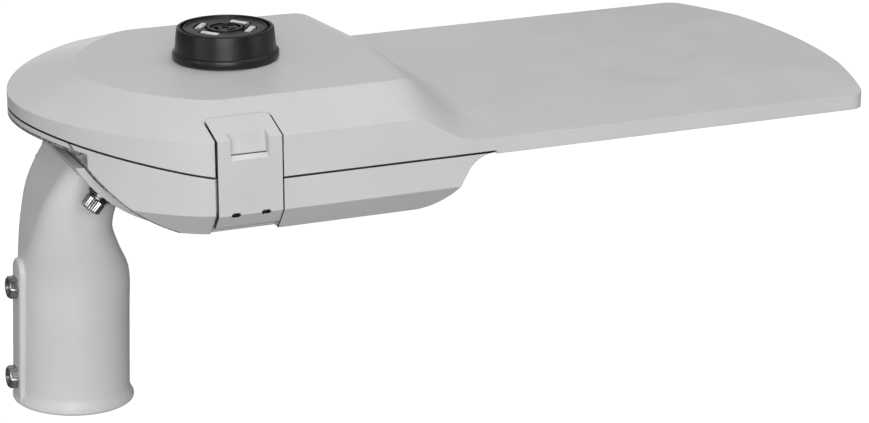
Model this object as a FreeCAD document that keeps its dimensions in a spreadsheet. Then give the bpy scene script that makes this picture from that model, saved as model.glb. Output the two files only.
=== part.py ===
import FreeCAD, Part
import math
import os
import Sketcher

# Street light head for the top of a pole, in millimetres.
# The origin is the middle of the pole socket's mouth, +Z up, +X from the pole to the light.
# Everything above the saddle joint is drawn level and then turned nose up by head_tilt.

SIZES = {
    # pole socket and its clamp screws
    "pole_diameter": 60.0,
    "pole_play": 2.0,
    "socket_depth": 80.0,
    "socket_wall": 4.9,
    "socket_top_radius": 35.2,
    "pole_stop": 4.0,
    "collar_flare": 2.8,
    "collar_height": 9.0,
    "collar_round": 2.0,
    "collar_sweep": 14.0,
    "rib_width": 19.0,
    "rib_reach": 37.6,
    "rib_top": 96.0,
    "clamp_screw_low": 17.0,
    "clamp_screw_high": 77.0,
    "clamp_screw_diameter": 8.0,
    "clamp_head_across": 13.0,
    "clamp_head_height": 5.5,
    "clamp_recess_depth": 1.5,
    "clamp_tip_gap": 0.2,
    # saddle joint between the spigot and the head
    "head_tilt": 2.4,
    "tilt_up_limit": 5.0,
    "tilt_down_limit": 10.0,
    "seat_x": 69.0,
    "seat_z": 223.0,
    "seat_radius": 90.0,
    "seat_gap": 0.4,
    "saddle_half_width": 72.0,
    "saddle_low_x": 35.0,
    "saddle_thickness": 4.6,
    "saddle_low_z": 122.0,
    "hood_top_z": 173.5,
    # elbow neck: round sections from the socket up to the saddle
    "neck_wall": 5.0,
    "neck_start_z": 86.0,
    "waist_z": 112.0,
    "waist_radius": 29.2,
    "waist_shift": -5.0,
    "elbow_z": 142.0,
    "elbow_radius": 31.0,
    "elbow_shift": 0.6,
    "crown_z": 160.0,
    "crown_shift": 8.0,
    "neck_end_z": 176.0,
    "neck_end_shift": 18.6,
    "tilt_bolt_radius": 4.0,
    "tilt_bolt_y": 53.0,
    "tilt_bolt_angle": 50.0,
    "tilt_bolt_head_radius": 6.5,
    "tilt_bolt_head_height": 8.0,
    "tilt_bolt_length": 21.0,
    "tilt_slot_play": 0.6,
    "washer_gap": 0.3,
    "washer_height": 1.6,
    "washer_radius": 8.0,
    "spring_washer_height": 2.0,
    "spring_washer_radius": 6.6,
    # outline of the head seen from above
    "half_width": 134.0,
    "rear_tip": -30.9,
    "rear_bluntness": 28.1,
    "rear_radius": 110.0,
    "rear_angle": 15.6,
    "flank_angle": 54.3,
    "end_tip": 522.5,
    "end_radius": 360.0,
    "end_corner": 13.0,
    "tray_front": 236.0,
    # heights of the two castings
    "seam_z": 173.0,
    "seam_gap": 1.0,
    "seam_bend_x": 77.0,
    "seam_rise_angle": 9.5,
    "wall_top_z": 199.5,
    "plateau_z": 213.0,
    "plateau_inset": 42.0,
    "shoulder_x": 180.0,
    "toe_x": 246.0,
    "shoulder_bow": 16.0,
    "panel_edge_z": 181.5,
    "panel_crown_z": 184.5,
    "panel_crown_half": 69.0,
    "panel_under_z": 171.5,
    "side_bottom_z": 153.0,
    "tray_bottom_z": 138.0,
    "tray_chamfer": 12.0,
    "cover_wall": 5.0,
    "tray_wall": 6.5,
    "tray_floor": 4.5,
    "nose_start_x": 186.0,
    "nose_bend_x": 213.0,
    "lip_start_x": 218.5,
    "lip_start_z": 163.0,
    "shelf_thickness": 5.0,
    # gasket between the castings
    "gasket_inset": 1.6,
    "gasket_width": 3.0,
    "gasket_depth": 3.0,
    # hinge on the far side
    "hinge_outset": 6.0,
    "hinge_radius": 5.4,
    "hinge_pin_radius": 2.0,
    "pin_play": 0.05,
    "hinge_first_x": 110.0,
    "hinge_second_x": 190.0,
    "cover_knuckle": 22.0,
    "tray_knuckle": 9.0,
    "knuckle_gap": 0.5,
    # latch on the near side
    "latch_x": 77.0,
    "latch_width": 40.5,
    "latch_play": 0.75,
    "latch_thickness": 3.0,
    "latch_top_reach": 25.0,
    "latch_foot_z": 144.0,
    "latch_corner": 4.0,
    "latch_neck_width": 27.6,
    "latch_pin_inset": 12.5,
    "latch_pin_z": 147.0,
    "latch_pin_radius": 1.5,
    "latch_barrel_radius": 3.8,
    "latch_swing_radius": 9.5,
    "latch_slot_pitch": 19.0,
    "latch_slot_length": 5.8,
    "latch_slot_height": 2.8,
    "rivet_radius": 1.5,
    "rivet_pitch": 12.0,
    "rivet_rise": 24.0,
    "strip_thickness": 0.8,
    "grip_width": 24.0,
    "grip_bottom_z": 187.0,
    "grip_top_z": 203.0,
    "grip_back": 16.0,
    "latch_spring_width": 20.0,
    "latch_top_gap": 0.6,
    "niche_wall": 4.5,
    "tray_niche_depth": 5.6,
    # LED chamber under the panel
    "chamber_setback": 4.0,
    "chamber_end_wall": 28.5,
    "chamber_side_wall": 17.0,
    "chamber_roof_z": 178.5,
    # photocell socket
    "socket_x": 108.3,
    "socket_top_z": 233.6,
    "socket_top_reach": 31.0,
    "socket_skirt_reach": 32.3,
    "socket_flange_reach": 34.0,
    "socket_flange_height": 4.0,
    "socket_seal_height": 1.2,
    "socket_neck": 20.0,
    "contact_reach": 18.0,
    "contact_length": 9.0,
    "contact_width": 4.0,
    # gear plate and small hardware
    "gear_plate_setback": 3.0,
    "gear_plate_east": 190.0,
    "gear_plate_margin": 36.0,
    "gear_plate_z": 146.0,
    "gear_plate_thickness": 1.5,
    "post_radius": 4.0,
    "post_inset": 8.0,
    "screw_radius": 2.0,
    "driver_length": 58.0,
    "driver_width": 140.0,
    "driver_height": 33.0,
    "surge_length": 40.0,
    "surge_width": 36.0,
    "surge_height": 28.0,
    "terminal_length": 22.0,
    "terminal_width": 50.0,
    "terminal_height": 22.0,
    "terminal_pitch": 10.0,
    "cable_radius": 6.0,
    "cable_clamp_length": 12.0,
    "cable_clamp_width": 36.0,
    "cable_clamp_height": 11.0,
    "cable_clamp_screw": 1.6,
    "clamp_screw_inset": 5.0,
    "bush_neck": 9.0,
    "vent_x": 120.0,
    "vent_y": 60.0,
    "vent_neck": 5.0,
    "latch_lug_radius": 2.7,
    "catch_z": 181.0,
    "catch_depth": 2.5,
    # light modules
    "module_gap": 4.0,
    "module_end_play": 4.0,
    "module_side_play": 3.0,
    "board_thickness": 1.6,
    "seal_thickness": 0.8,
    "lens_thickness": 2.2,
    "lens_screw_radius": 1.5,
    "lens_screw_inset": 5.0,
    "lens_margin_x": 22.0,
    "lens_margin_y": 17.0,
    "dome_height": 2.2,
    "dome_radius": 7.5,
    "dome_top_radius": 4.5,
    "chip_size": 3.4,
    "chip_height": 0.7,
}


# what follows from the sizes above: the tangent arcs of the rear end, and the level of a slanted seam
DERIVED = {
    "rear_run": "sizes.half_width - sizes.rear_bluntness",
    "side_start": "sizes.rear_tip + derived.rear_run",
    "rear_reach": "derived.rear_run - sizes.rear_radius * (1 - cos(sizes.rear_angle))",
    "rear_side": "sizes.half_width - sizes.rear_radius * sin(sizes.rear_angle)",
    "cos_step": "cos(sizes.rear_angle) - cos(sizes.flank_angle)",
    "sin_step": "sin(sizes.flank_angle) - sin(sizes.rear_angle)",
    "sin_rest": "1 - sin(sizes.flank_angle)",
    "arc_sum": "derived.cos_step * derived.sin_rest - cos(sizes.flank_angle) * derived.sin_step",
    "flank_radius": "(derived.rear_reach * derived.sin_rest - cos(sizes.flank_angle) * derived.rear_side)"
                    " / derived.arc_sum",
    "corner_radius": "(derived.cos_step * derived.rear_side - derived.sin_step * derived.rear_reach)"
                     " / derived.arc_sum",
    "end_sin": "(sizes.half_width - sizes.end_corner) / (sizes.end_radius - sizes.end_corner)",
    "end_cos": "sqrt(1 - derived.end_sin * derived.end_sin)",
    "end_centre": "sizes.end_tip - sizes.end_radius",
    "end_corner_x": "derived.end_centre + (sizes.end_radius - sizes.end_corner) * derived.end_cos",
    "chamfer_fall": "sizes.side_bottom_z - sizes.tray_bottom_z",
    "nose_radius": "((sizes.nose_bend_x - sizes.nose_start_x)^2 + derived.chamfer_fall^2)"
                   " / (2 * derived.chamfer_fall)",
    "lip_rise": "sizes.seam_z - sizes.seam_gap / 2 - sizes.lip_start_z",
    "lip_radius": "((sizes.tray_front - sizes.lip_start_x)^2 + derived.lip_rise^2) / (2 * derived.lip_rise)",
    "shoulder_slope": "(sizes.plateau_z - sizes.wall_top_z) / sizes.plateau_inset",
    "saddle_outer": "sizes.seat_radius + sizes.seat_gap + sizes.saddle_thickness",
    "bore_radius": "(sizes.pole_diameter + sizes.pole_play) / 2",
    "tube_foot_radius": "derived.bore_radius + sizes.socket_wall",
    "collar_radius": "derived.tube_foot_radius + sizes.collar_flare",
    "hinge_y": "sizes.half_width + sizes.hinge_outset",
    "latch_pin_y": "sizes.latch_pin_inset - sizes.half_width",
    "niche_depth": "sizes.latch_top_reach + sizes.latch_top_gap",
    "chamber_start": "sizes.toe_x + sizes.chamber_setback",
    "chamber_end": "sizes.end_tip - sizes.chamber_end_wall",
    "chamber_half": "sizes.half_width - sizes.chamber_side_wall",
    "module_length": "(derived.chamber_end - derived.chamber_start - sizes.module_gap) / 2"
                     " - sizes.module_end_play",
    "module_width": "derived.chamber_half - sizes.module_gap / 2 - sizes.module_side_play",
    "lens_pitch_x": "derived.module_length / 2 - sizes.lens_margin_x",
    "lens_pitch_y": "(derived.module_width - 2 * sizes.lens_margin_y) / 3",
    "board_z": "sizes.chamber_roof_z - sizes.board_thickness",
    "plate_z": "derived.board_z - sizes.seal_thickness - sizes.lens_thickness",
    "gear_plate_west": "sizes.seat_x + sizes.gear_plate_setback",
    "gear_plate_half": "sizes.half_width - sizes.gear_plate_margin",
    "gear_top": "sizes.gear_plate_z + sizes.gear_plate_thickness",
    "seat_world_x": "sizes.seat_x * cos(sizes.head_tilt) - sizes.seat_z * sin(sizes.head_tilt)",
    "seat_world_z": "sizes.seat_z * cos(sizes.head_tilt) + sizes.seat_x * sin(sizes.head_tilt)",
}


def filled_sheet(document, name, cells):
    sheet = document.addObject("Spreadsheet::Sheet", name)
    for row, (alias, content) in enumerate(cells.items(), start=1):
        sheet.set(f"A{row}", alias)
        sheet.set(f"B{row}", str(content))
        sheet.setAlias(f"B{row}", alias)
    document.recompute()
    return sheet


doc = FreeCAD.newDocument("lamp_head")
sizes = filled_sheet(doc, "sizes", SIZES)
derived = filled_sheet(doc, "derived", {alias: "=" + rule.replace("derived.", "")
                                        for alias, rule in DERIVED.items()})


def value(expression):
    """Number that an expression of the sheet gives now."""
    result = sizes.evalExpression(expression)
    return float(getattr(result, "Value", result))


def origin_plane(body, role):
    return next(plane for plane in body.Origin.OriginFeatures if plane.Role == role)


def new_sketch(body, name, role, offset=None):
    sketch = body.newObject("Sketcher::SketchObject", name)
    sketch.AttachmentSupport = [(origin_plane(body, role), "")]
    sketch.MapMode = "FlatFace"
    if offset:
        sketch.setExpression("AttachmentOffset.Base.z", offset)
    return sketch


def bind(sketch, kind, *where, expression):
    index = sketch.addConstraint(Sketcher.Constraint(kind, *where, value(expression)))
    sketch.setExpression(f"Constraints[{index}]", expression)


def draw_outline(sketch, corners):
    """Closed outline. A corner is (across, up), or (across, up, radius) where the edge that
    leads to it is an arc: a radius with a minus sign turns clockwise."""
    points = [FreeCAD.Vector(value(corner[0]), value(corner[1]), 0) for corner in corners]
    for number, corner in enumerate(corners):
        start, end = points[number - 1], points[number]
        if len(corner) == 2:
            edge = sketch.addGeometry(Part.LineSegment(start, end))
            first, last = 1, 2
        else:
            radius = corner[2]
            clockwise = radius.startswith("-")
            radius = radius.lstrip("-")
            size = value(radius)
            chord = end - start
            rise = size - math.sqrt(max(size ** 2 - (chord.Length / 2) ** 2, 0))
            side = FreeCAD.Vector(chord.y, -chord.x, 0).normalize() * (-rise if clockwise else rise)
            edge = sketch.addGeometry(Part.Arc(start, (start + end) / 2 + side, end))
            first, last = (2, 1) if clockwise else (1, 2)
            bind(sketch, "Radius", edge, expression=radius)
        bind(sketch, "DistanceX", -1, 1, edge, last, expression=corner[0])
        bind(sketch, "DistanceY", -1, 1, edge, last, expression=corner[1])
        if number:
            sketch.addConstraint(Sketcher.Constraint("Coincident", before, before_last, edge, first))
        else:
            opening = (edge, first)
        before, before_last = edge, last
    sketch.addConstraint(Sketcher.Constraint("Coincident", before, before_last, *opening))
    return sketch


def draw_circle(sketch, across, up, radius):
    centre = FreeCAD.Vector(value(across), value(up), 0)
    edge = sketch.addGeometry(Part.Circle(centre, FreeCAD.Vector(0, 0, 1), value(radius)))
    bind(sketch, "Radius", edge, expression=radius)
    bind(sketch, "DistanceX", -1, 1, edge, 3, expression=across)
    bind(sketch, "DistanceY", -1, 1, edge, 3, expression=up)
    return sketch


def pad(body, name, sketch, length, side="One side"):
    feature = body.newObject("PartDesign::Pad", name)
    feature.Profile = sketch
    feature.SideType = side
    feature.setExpression("Length", length)
    return feature


def new_body(name):
    return doc.addObject("PartDesign::Body", name)


def prism(name, role, corners, length, offset=None, side="One side"):
    """Body with one padded outline."""
    body = new_body(name)
    sketch = draw_outline(new_sketch(body, name + "_outline", role, offset), corners)
    pad(body, name + "_pad", sketch, length, side)
    return body


def joined(kind, name, *pieces):
    """Part boolean of two or more pieces: Cut, Fuse or Common."""
    if kind == "Common" and len(pieces) > 2:
        pieces = (joined(kind, name + "_first", *pieces[:-1]), pieces[-1])
    if kind == "Cut":
        result = doc.addObject("Part::Cut", name)
        result.Base, result.Tool = pieces
    else:
        result = doc.addObject(f"Part::Multi{kind}", name)
        result.Shapes = list(pieces)
    result.Refine = True
    return result


# The two castings share one outline: straight sides, and a rear end of tangent arcs.

def head_outline(inset, front):
    """Outline of the head seen from above, moved inwards by inset and cut off at front."""
    rear = f"(sizes.rear_radius - ({inset}))"
    flank = f"(derived.flank_radius - ({inset}))"
    corner = f"(derived.corner_radius - ({inset}))"
    side = f"(sizes.half_width - ({inset}))"
    near_x = f"(sizes.rear_tip + ({inset}) + {rear} * (1 - cos(sizes.rear_angle)))"
    near_y = f"({rear} * sin(sizes.rear_angle))"
    far_x = f"({near_x} + {flank} * derived.cos_step)"
    far_y = f"({near_y} + {flank} * derived.sin_step)"
    return [
        (front, "-" + side),
        ("derived.side_start", "-" + side),
        (far_x, "-" + far_y, "-" + corner),
        (near_x, "-" + near_y, "-" + flank),
        (near_x, near_y, "-" + rear),
        (far_x, far_y, "-" + flank),
        ("derived.side_start", side, "-" + corner),
        (front, side),
    ]


def loft(body, name, kind, first, *rest, ruled=True):
    feature = body.newObject(f"PartDesign::{kind}Loft", name)
    feature.Profile = first
    feature.Sections = list(rest)
    feature.Ruled = ruled
    return feature


def flared_prism(name, low, low_inset, bend, bend_inset, high, front):
    """Straight-sided form between bend and high, which narrows towards low."""
    body = new_body(name)
    wall = draw_outline(new_sketch(body, name + "_wall", "XY_Plane", bend), head_outline(bend_inset, front))
    end = f"{high} - ({bend})"
    straight = pad(body, name + "_pad", wall, f"abs({end})")
    straight.Reversed = value(end) < 0
    bottom = draw_outline(new_sketch(body, name + "_end", "XY_Plane", low), head_outline(low_inset, front))
    top = draw_outline(new_sketch(body, name + "_bend", "XY_Plane", bend), head_outline(bend_inset, front))
    loft(body, name + "_loft", "Additive", top, bottom)
    return body


FAR = "400"
SEAM_RISE = "tan(sizes.seam_rise_angle)"


def seam_level(across, shift):
    """Height of the slanted stretch of the seam, moved up by shift."""
    return f"sizes.seam_z + ({shift}) + (sizes.seam_bend_x - ({across})) * {SEAM_RISE}"


def seam_slab(name, lower, upper, front):
    """Layer that follows the bent seam, from lower to upper, right through the head."""
    rear = "-150"
    corners = [
        (rear, seam_level(rear, lower)),
        ("sizes.seam_bend_x", f"sizes.seam_z + ({lower})"),
        (front, f"sizes.seam_z + ({lower})"),
        (front, f"sizes.seam_z + ({upper})"),
        ("sizes.seam_bend_x", f"sizes.seam_z + ({upper})"),
        (rear, seam_level(rear, upper)),
    ]
    return prism(name, "XZ_Plane", corners, FAR, side="Symmetric")


def seat_cylinder(name, radius):
    """Drum about the tilting axis."""
    drum = doc.addObject("Part::Cylinder", name)
    drum.setExpression("Radius", radius)
    drum.setExpression("Height", FAR)
    drum.Placement.Rotation = FreeCAD.Rotation(FreeCAD.Vector(1, 0, 0), -90)
    drum.setExpression("Placement.Base.x", "sizes.seat_x")
    drum.setExpression("Placement.Base.y", f"-{FAR} / 2")
    drum.setExpression("Placement.Base.z", "sizes.seat_z")
    return drum


def box(name, west, east, south, north, low, high):
    """Block between two values along each axis."""
    block = doc.addObject("Part::Box", name)
    for extent, axis, start, end in (("Length", "x", west, east), ("Width", "y", south, north),
                                     ("Height", "z", low, high)):
        block.setExpression(extent, f"({end}) - ({start})")
        block.setExpression(f"Placement.Base.{axis}", start)
    return block


ALONG = {"x": FreeCAD.Rotation(FreeCAD.Vector(0, 1, 0), 90),
         "y": FreeCAD.Rotation(FreeCAD.Vector(1, 0, 0), -90),
         "z": FreeCAD.Rotation()}


def rod(name, radius, length, place, axis="z"):
    """Round bar that starts at place and runs along one axis."""
    bar = doc.addObject("Part::Cylinder", name)
    bar.setExpression("Radius", radius)
    bar.setExpression("Height", length)
    bar.Placement.Rotation = ALONG[axis]
    for letter, position in zip("xyz", place):
        bar.setExpression(f"Placement.Base.{letter}", position)
    return bar


NODES = {}
HEAD_NODES = []


def finish(node, piece, on_head=True):
    """Give a finished piece its name, and remember whether it turns with the head."""
    piece.Label = node
    NODES[node] = piece
    if on_head:
        HEAD_NODES.append(piece)
    return piece


def group(node, pieces, on_head=True):
    """Like pieces that share one node."""
    bunch = doc.addObject("Part::Compound", node + "_group")
    bunch.Links = list(pieces)
    return finish(node, bunch, on_head)


LATCH_WEST = "sizes.latch_x - sizes.latch_width / 2"
LATCH_EAST = "sizes.latch_x + sizes.latch_width / 2"
NICHE_WEST = f"{LATCH_WEST} - sizes.latch_play"
NICHE_EAST = f"{LATCH_EAST} + sizes.latch_play"
NECK_WEST = "sizes.latch_x - sizes.latch_neck_width / 2"
NECK_EAST = "sizes.latch_x + sizes.latch_neck_width / 2"
UP = "300"
SEAM_LOW = "sizes.seam_z - sizes.seam_gap / 2"
SEAM_HIGH = "sizes.seam_z + sizes.seam_gap / 2"
WALL = "sizes.half_width"


def knuckles(name, length, offset, radius):
    """Round bars on the hinge line, one pair or one each side of both hinge places."""
    bars = []
    for number, centre in enumerate(("sizes.hinge_first_x", "sizes.hinge_second_x")):
        for side, shift in enumerate(offset):
            start = f"{centre} + ({shift}) - ({length}) / 2"
            bars.append(rod(f"{name}_{number}_{side}", radius, length, (start, "derived.hinge_y", "sizes.seam_z"), "x"))
    return bars


def hinge_webs(name, length, offset, low, high):
    webs = []
    for number, centre in enumerate(("sizes.hinge_first_x", "sizes.hinge_second_x")):
        for side, shift in enumerate(offset):
            webs.append(box(f"{name}_{number}_{side}", f"{centre} + ({shift}) - ({length}) / 2",
                            f"{centre} + ({shift}) + ({length}) / 2", f"{WALL} - 2", "derived.hinge_y", low, high))
    return webs


TRAY_KNUCKLE_SHIFT = "(sizes.cover_knuckle + sizes.tray_knuckle) / 2 + sizes.knuckle_gap"


def tray_side_view():
    """Tray seen from the side: flat floor, rounded nose, hollow lip under the panel, bent seam."""
    corners = [
        ("-150", "sizes.tray_bottom_z"),
        ("sizes.nose_start_x", "sizes.tray_bottom_z"),
        ("sizes.nose_bend_x", "sizes.side_bottom_z", "derived.nose_radius"),
        ("sizes.lip_start_x", "sizes.lip_start_z"),
        ("sizes.tray_front", SEAM_LOW, "-derived.lip_radius"),
        ("sizes.seam_bend_x", SEAM_LOW),
        ("-150", seam_level("-150", "-sizes.seam_gap / 2")),
    ]
    return prism("tray_side", "XZ_Plane", corners, FAR, side="Symmetric")


def tray_cavity():
    """Gear space of the tray, with the saddle wall round its rear end."""
    wide = flared_prism("tray_cavity_form", "sizes.tray_bottom_z + sizes.tray_floor",
                        "sizes.tray_chamfer + sizes.tray_wall", "sizes.side_bottom_z + 2",
                        "sizes.tray_wall", "sizes.plateau_z", "sizes.tray_front")
    inner = [
        ("-150", "sizes.tray_bottom_z"),
        ("sizes.nose_start_x + 2", "sizes.tray_bottom_z"),
        ("sizes.nose_bend_x - 8", "sizes.side_bottom_z"),
        ("sizes.lip_start_x - 7", "sizes.lip_start_z"),
        ("sizes.lip_start_x - 7", UP),
        ("-150", UP),
    ]
    side = prism("tray_cavity_side", "XZ_Plane", inner, FAR, side="Symmetric")
    drum = seat_cylinder("tray_cavity_drum", "sizes.seat_radius - sizes.tray_floor")
    ahead = box("tray_cavity_ahead", "sizes.seat_x", FAR, "-200", "200", "0", UP)
    return joined("Common", "tray_cavity", wide, side, joined("Fuse", "tray_cavity_rear", drum, ahead))


def niche_box(name, margin, depth_margin, low, high):
    """Block round the niche of the latch, wider by margin and deeper by depth_margin."""
    return box(name, f"{NICHE_WEST} - ({margin})", f"{NICHE_EAST} + ({margin})",
               "-200", f"-({WALL} - derived.niche_depth - ({depth_margin}))", low, high)


def gasket_ring(name, lower, upper):
    """Ring that follows the outline and goes round the niche of the latch."""
    regions = []
    for part, margin in (("outside", "sizes.gasket_inset"), ("inside", "sizes.gasket_inset + sizes.gasket_width")):
        plan = prism(f"{name}_{part}", "XY_Plane", head_outline(margin, f"sizes.lip_start_x - ({margin})"), UP)
        regions.append(joined("Cut", f"{name}_{part}_region", plan,
                              niche_box(f"{name}_{part}_niche", margin, margin, "-1", "400")))
    band = joined("Cut", name + "_band", *regions)
    return joined("Common", name, band, seam_slab(name + "_layer", lower, upper, "sizes.tray_front"))


def radial_rod(name, radius, start, length, angle, across, frame="seat"):
    """Round bar that points away from the tilting axis, at an angle below the level."""
    centre = ("sizes.seat_x", "sizes.seat_z") if frame == "seat" else ("derived.seat_world_x", "derived.seat_world_z")
    bar = doc.addObject("Part::Cylinder", name)
    bar.setExpression("Radius", radius)
    bar.setExpression("Height", length)
    bar.Placement.Rotation = FreeCAD.Rotation(FreeCAD.Vector(0, -1, 0), 1)
    bar.setExpression("Placement.Rotation.Angle", f"90 + ({angle})")
    bar.setExpression("Placement.Base.x", f"{centre[0]} - ({start}) * cos({angle})")
    bar.setExpression("Placement.Base.y", across)
    bar.setExpression("Placement.Base.z", f"{centre[1]} - ({start}) * sin({angle})")
    return bar


NICHE_BACK = f"-({WALL} - sizes.tray_niche_depth)"


def niche_view(foot):
    """Hollow in the tray wall behind the latch, down to foot, seen along the head."""
    bend = "sizes.side_bottom_z + 1.5"
    inner = f"{NICHE_BACK} + ({bend} - ({foot})) * sizes.tray_chamfer / derived.chamfer_fall"
    return [("-200", UP), ("-200", foot), (inner, foot), (NICHE_BACK, bend), (NICHE_BACK, UP)]


def build_tray():
    form = flared_prism("tray_form", "sizes.tray_bottom_z", "sizes.tray_chamfer", "sizes.side_bottom_z",
                        "0", "sizes.plateau_z", "sizes.tray_front")
    side = tray_side_view()
    drum = seat_cylinder("tray_drum", "sizes.seat_radius")
    ahead = box("tray_ahead", "sizes.seat_x", FAR, "-200", "200", "0", UP)
    shelf = seam_slab("tray_shelf", "-sizes.seam_gap / 2 - sizes.shelf_thickness", "0", "sizes.nose_start_x")
    outside = joined("Common", "tray_outside", form, side, joined("Fuse", "tray_rear", drum, ahead, shelf))
    shell = joined("Cut", "tray_shell", outside, tray_cavity())
    block = joined("Fuse", "tray_block",
                   niche_box("tray_block_high", "sizes.niche_wall + 2", "sizes.niche_wall + 2", "sizes.side_bottom_z", UP),
                   niche_box("tray_block_low", "sizes.niche_wall", "0", "0", UP))
    backing = joined("Common", "tray_latch_backing", outside, block)
    outer_shift = [f"-({TRAY_KNUCKLE_SHIFT})", TRAY_KNUCKLE_SHIFT]
    posts = [rod(f"tray_post_{number}", "sizes.post_radius",
                 "sizes.gear_plate_z - sizes.tray_bottom_z - 1", (across, depth, "sizes.tray_bottom_z + 1"))
             for number, (across, depth) in enumerate(POSTS)]
    bosses = [radial_rod(f"tray_boss_{side}", "2 * sizes.tilt_bolt_radius",
                         "sizes.seat_radius - sizes.tray_floor - 8.5", "9.5", "sizes.tilt_bolt_angle",
                         f"{side}sizes.tilt_bolt_y") for side in ("-", "")]
    body = joined("Fuse", "tray_body", shell, backing, *posts, *bosses,
                  *knuckles("tray_knuckle", "sizes.tray_knuckle", outer_shift, "sizes.hinge_radius"),
                  *hinge_webs("tray_web", "sizes.tray_knuckle", outer_shift,
                              "sizes.seam_z - sizes.hinge_radius", SEAM_LOW))
    foot = "sizes.tray_bottom_z - 5"
    niche = prism("tray_niche", "YZ_Plane", niche_view(foot), f"{NICHE_EAST} - ({NICHE_WEST})", offset=NICHE_WEST)
    swing = rod("tray_latch_swing", "sizes.latch_swing_radius", f"{NICHE_EAST} - ({NICHE_WEST})",
                (NICHE_WEST, "derived.latch_pin_y", "sizes.latch_pin_z"), "x")
    open_body = joined("Cut", "tray_open", body, joined("Fuse", "tray_niche_cut", niche, swing))
    lugs = []
    for side, start, end in (("west", f"{NICHE_WEST} - 1", f"{NECK_WEST} - sizes.knuckle_gap"),
                             ("east", f"{NECK_EAST} + sizes.knuckle_gap", f"{NICHE_EAST} + 1")):
        lugs.append(rod(f"tray_lug_{side}", "sizes.latch_lug_radius", f"({end}) - ({start})",
                        (start, "derived.latch_pin_y", "sizes.latch_pin_z"), "x"))
        lugs.append(box(f"tray_lug_web_{side}", start, end, "derived.latch_pin_y - sizes.latch_lug_radius / 2",
                        "derived.latch_pin_y + sizes.latch_lug_radius", "sizes.latch_pin_z",
                        "sizes.latch_pin_z + sizes.latch_swing_radius + 2"))
    with_lugs = joined("Fuse", "tray_with_lugs", open_body, *lugs)
    pin_hole = rod("tray_latch_hole", "sizes.latch_pin_radius + sizes.pin_play", LATCH_PIN_LENGTH,
                   (LATCH_PIN_START, "derived.latch_pin_y", "sizes.latch_pin_z"), "x")
    hinge_holes = knuckles("tray_hinge_hole", "2 * sizes.hinge_radius + 2 * sizes.cover_knuckle", ["0"],
                           "sizes.hinge_pin_radius + sizes.pin_play")
    bolt_holes = [radial_rod(f"tray_bolt_hole_{side}", "sizes.tilt_bolt_radius", BOLT_TIP, "sizes.tilt_bolt_length",
                             "sizes.tilt_bolt_angle", f"{side}sizes.tilt_bolt_y") for side in ("-", "")]
    bush_hole = radial_rod("tray_bush_hole", "sizes.bush_neck", "sizes.seat_radius - 12", "20",
                           "sizes.tilt_bolt_angle", "0")
    vent_hole = rod("tray_vent_hole", "sizes.vent_neck", "20", ("sizes.vent_x", "sizes.vent_y", foot))
    groove = gasket_ring("tray_groove", "-sizes.seam_gap / 2 - sizes.gasket_depth", "sizes.seam_gap")
    cuts = joined("Fuse", "tray_cuts", pin_hole, *hinge_holes, *bolt_holes, bush_hole, vent_hole, groove,
                  *plate_screw_rods("tray_post_hole"))
    finish("tray", joined("Cut", "tray_casting", with_lugs, cuts))


def plate_screw_rods(name):
    return [rod(f"{name}_{number}", "sizes.screw_radius", "8", (across, depth, "sizes.gear_plate_z - 6"))
            for number, (across, depth) in enumerate(POSTS)]


# The cover: straight sides, bevelled shoulders, a plateau over the gear space and a thin panel.

def cover_plan(name, inset):
    """Full outline of the cover seen from above, through all heights."""
    corner = f"(sizes.end_corner - ({inset}))"
    reach = f"(sizes.end_radius - ({inset}))"
    tip_x = f"(derived.end_centre + {reach} * derived.end_cos)"
    tip_y = f"({reach} * derived.end_sin)"
    corners = head_outline(inset, "derived.end_corner_x")
    corners[0] = (*corners[0], "-" + corner)
    corners += [(tip_x, tip_y, "-" + corner), (tip_x, "-" + tip_y, "-" + reach)]
    return prism(name, "XY_Plane", corners, UP)


def easing(share):
    """Smooth step from 0 to 1, flat at both ends."""
    share = min(max(share, 0), 1)
    return share * share * (3 - 2 * share)


def ogee_section(body, name, share):
    """Cross-section of the cover where the plateau swings down to the panel."""
    start, toe, bow = value("sizes.shoulder_x"), value("sizes.toe_x"), value("sizes.shoulder_bow")
    across = start + share * (toe - start)
    side = easing((across - start) / (toe - start - 1.4 * bow))
    crease = easing((across - start - 0.6 * bow) / (toe - start - 1.1 * bow))
    crown = easing((across - start - bow) / (toe - start - bow))
    blend = "{0} + ({1} - {0}) * {2:.4f}".format
    edge = blend("sizes.wall_top_z", "sizes.panel_edge_z", side)
    half = blend(f"({WALL} - sizes.plateau_inset)", "sizes.panel_crown_half", easing(share))
    low = blend("sizes.plateau_z", "sizes.panel_crown_z", crease)
    top = f"(({blend('sizes.plateau_z', 'sizes.panel_crown_z', crown)}) - ({low}) + 0.04)"
    radius = f"((({half})^2 + {top}^2) / (2 * {top}))"
    floor = "sizes.seam_z - 12"
    corners = [("-" + WALL, floor), (WALL, floor), (WALL, edge), (half, low),
               (f"-({half})", low, radius), ("-" + WALL, edge)]
    offset = f"sizes.shoulder_x + (sizes.toe_x - sizes.shoulder_x) * {share:.4f}"
    return draw_outline(new_sketch(body, name, "YZ_Plane", offset), corners)


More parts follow.
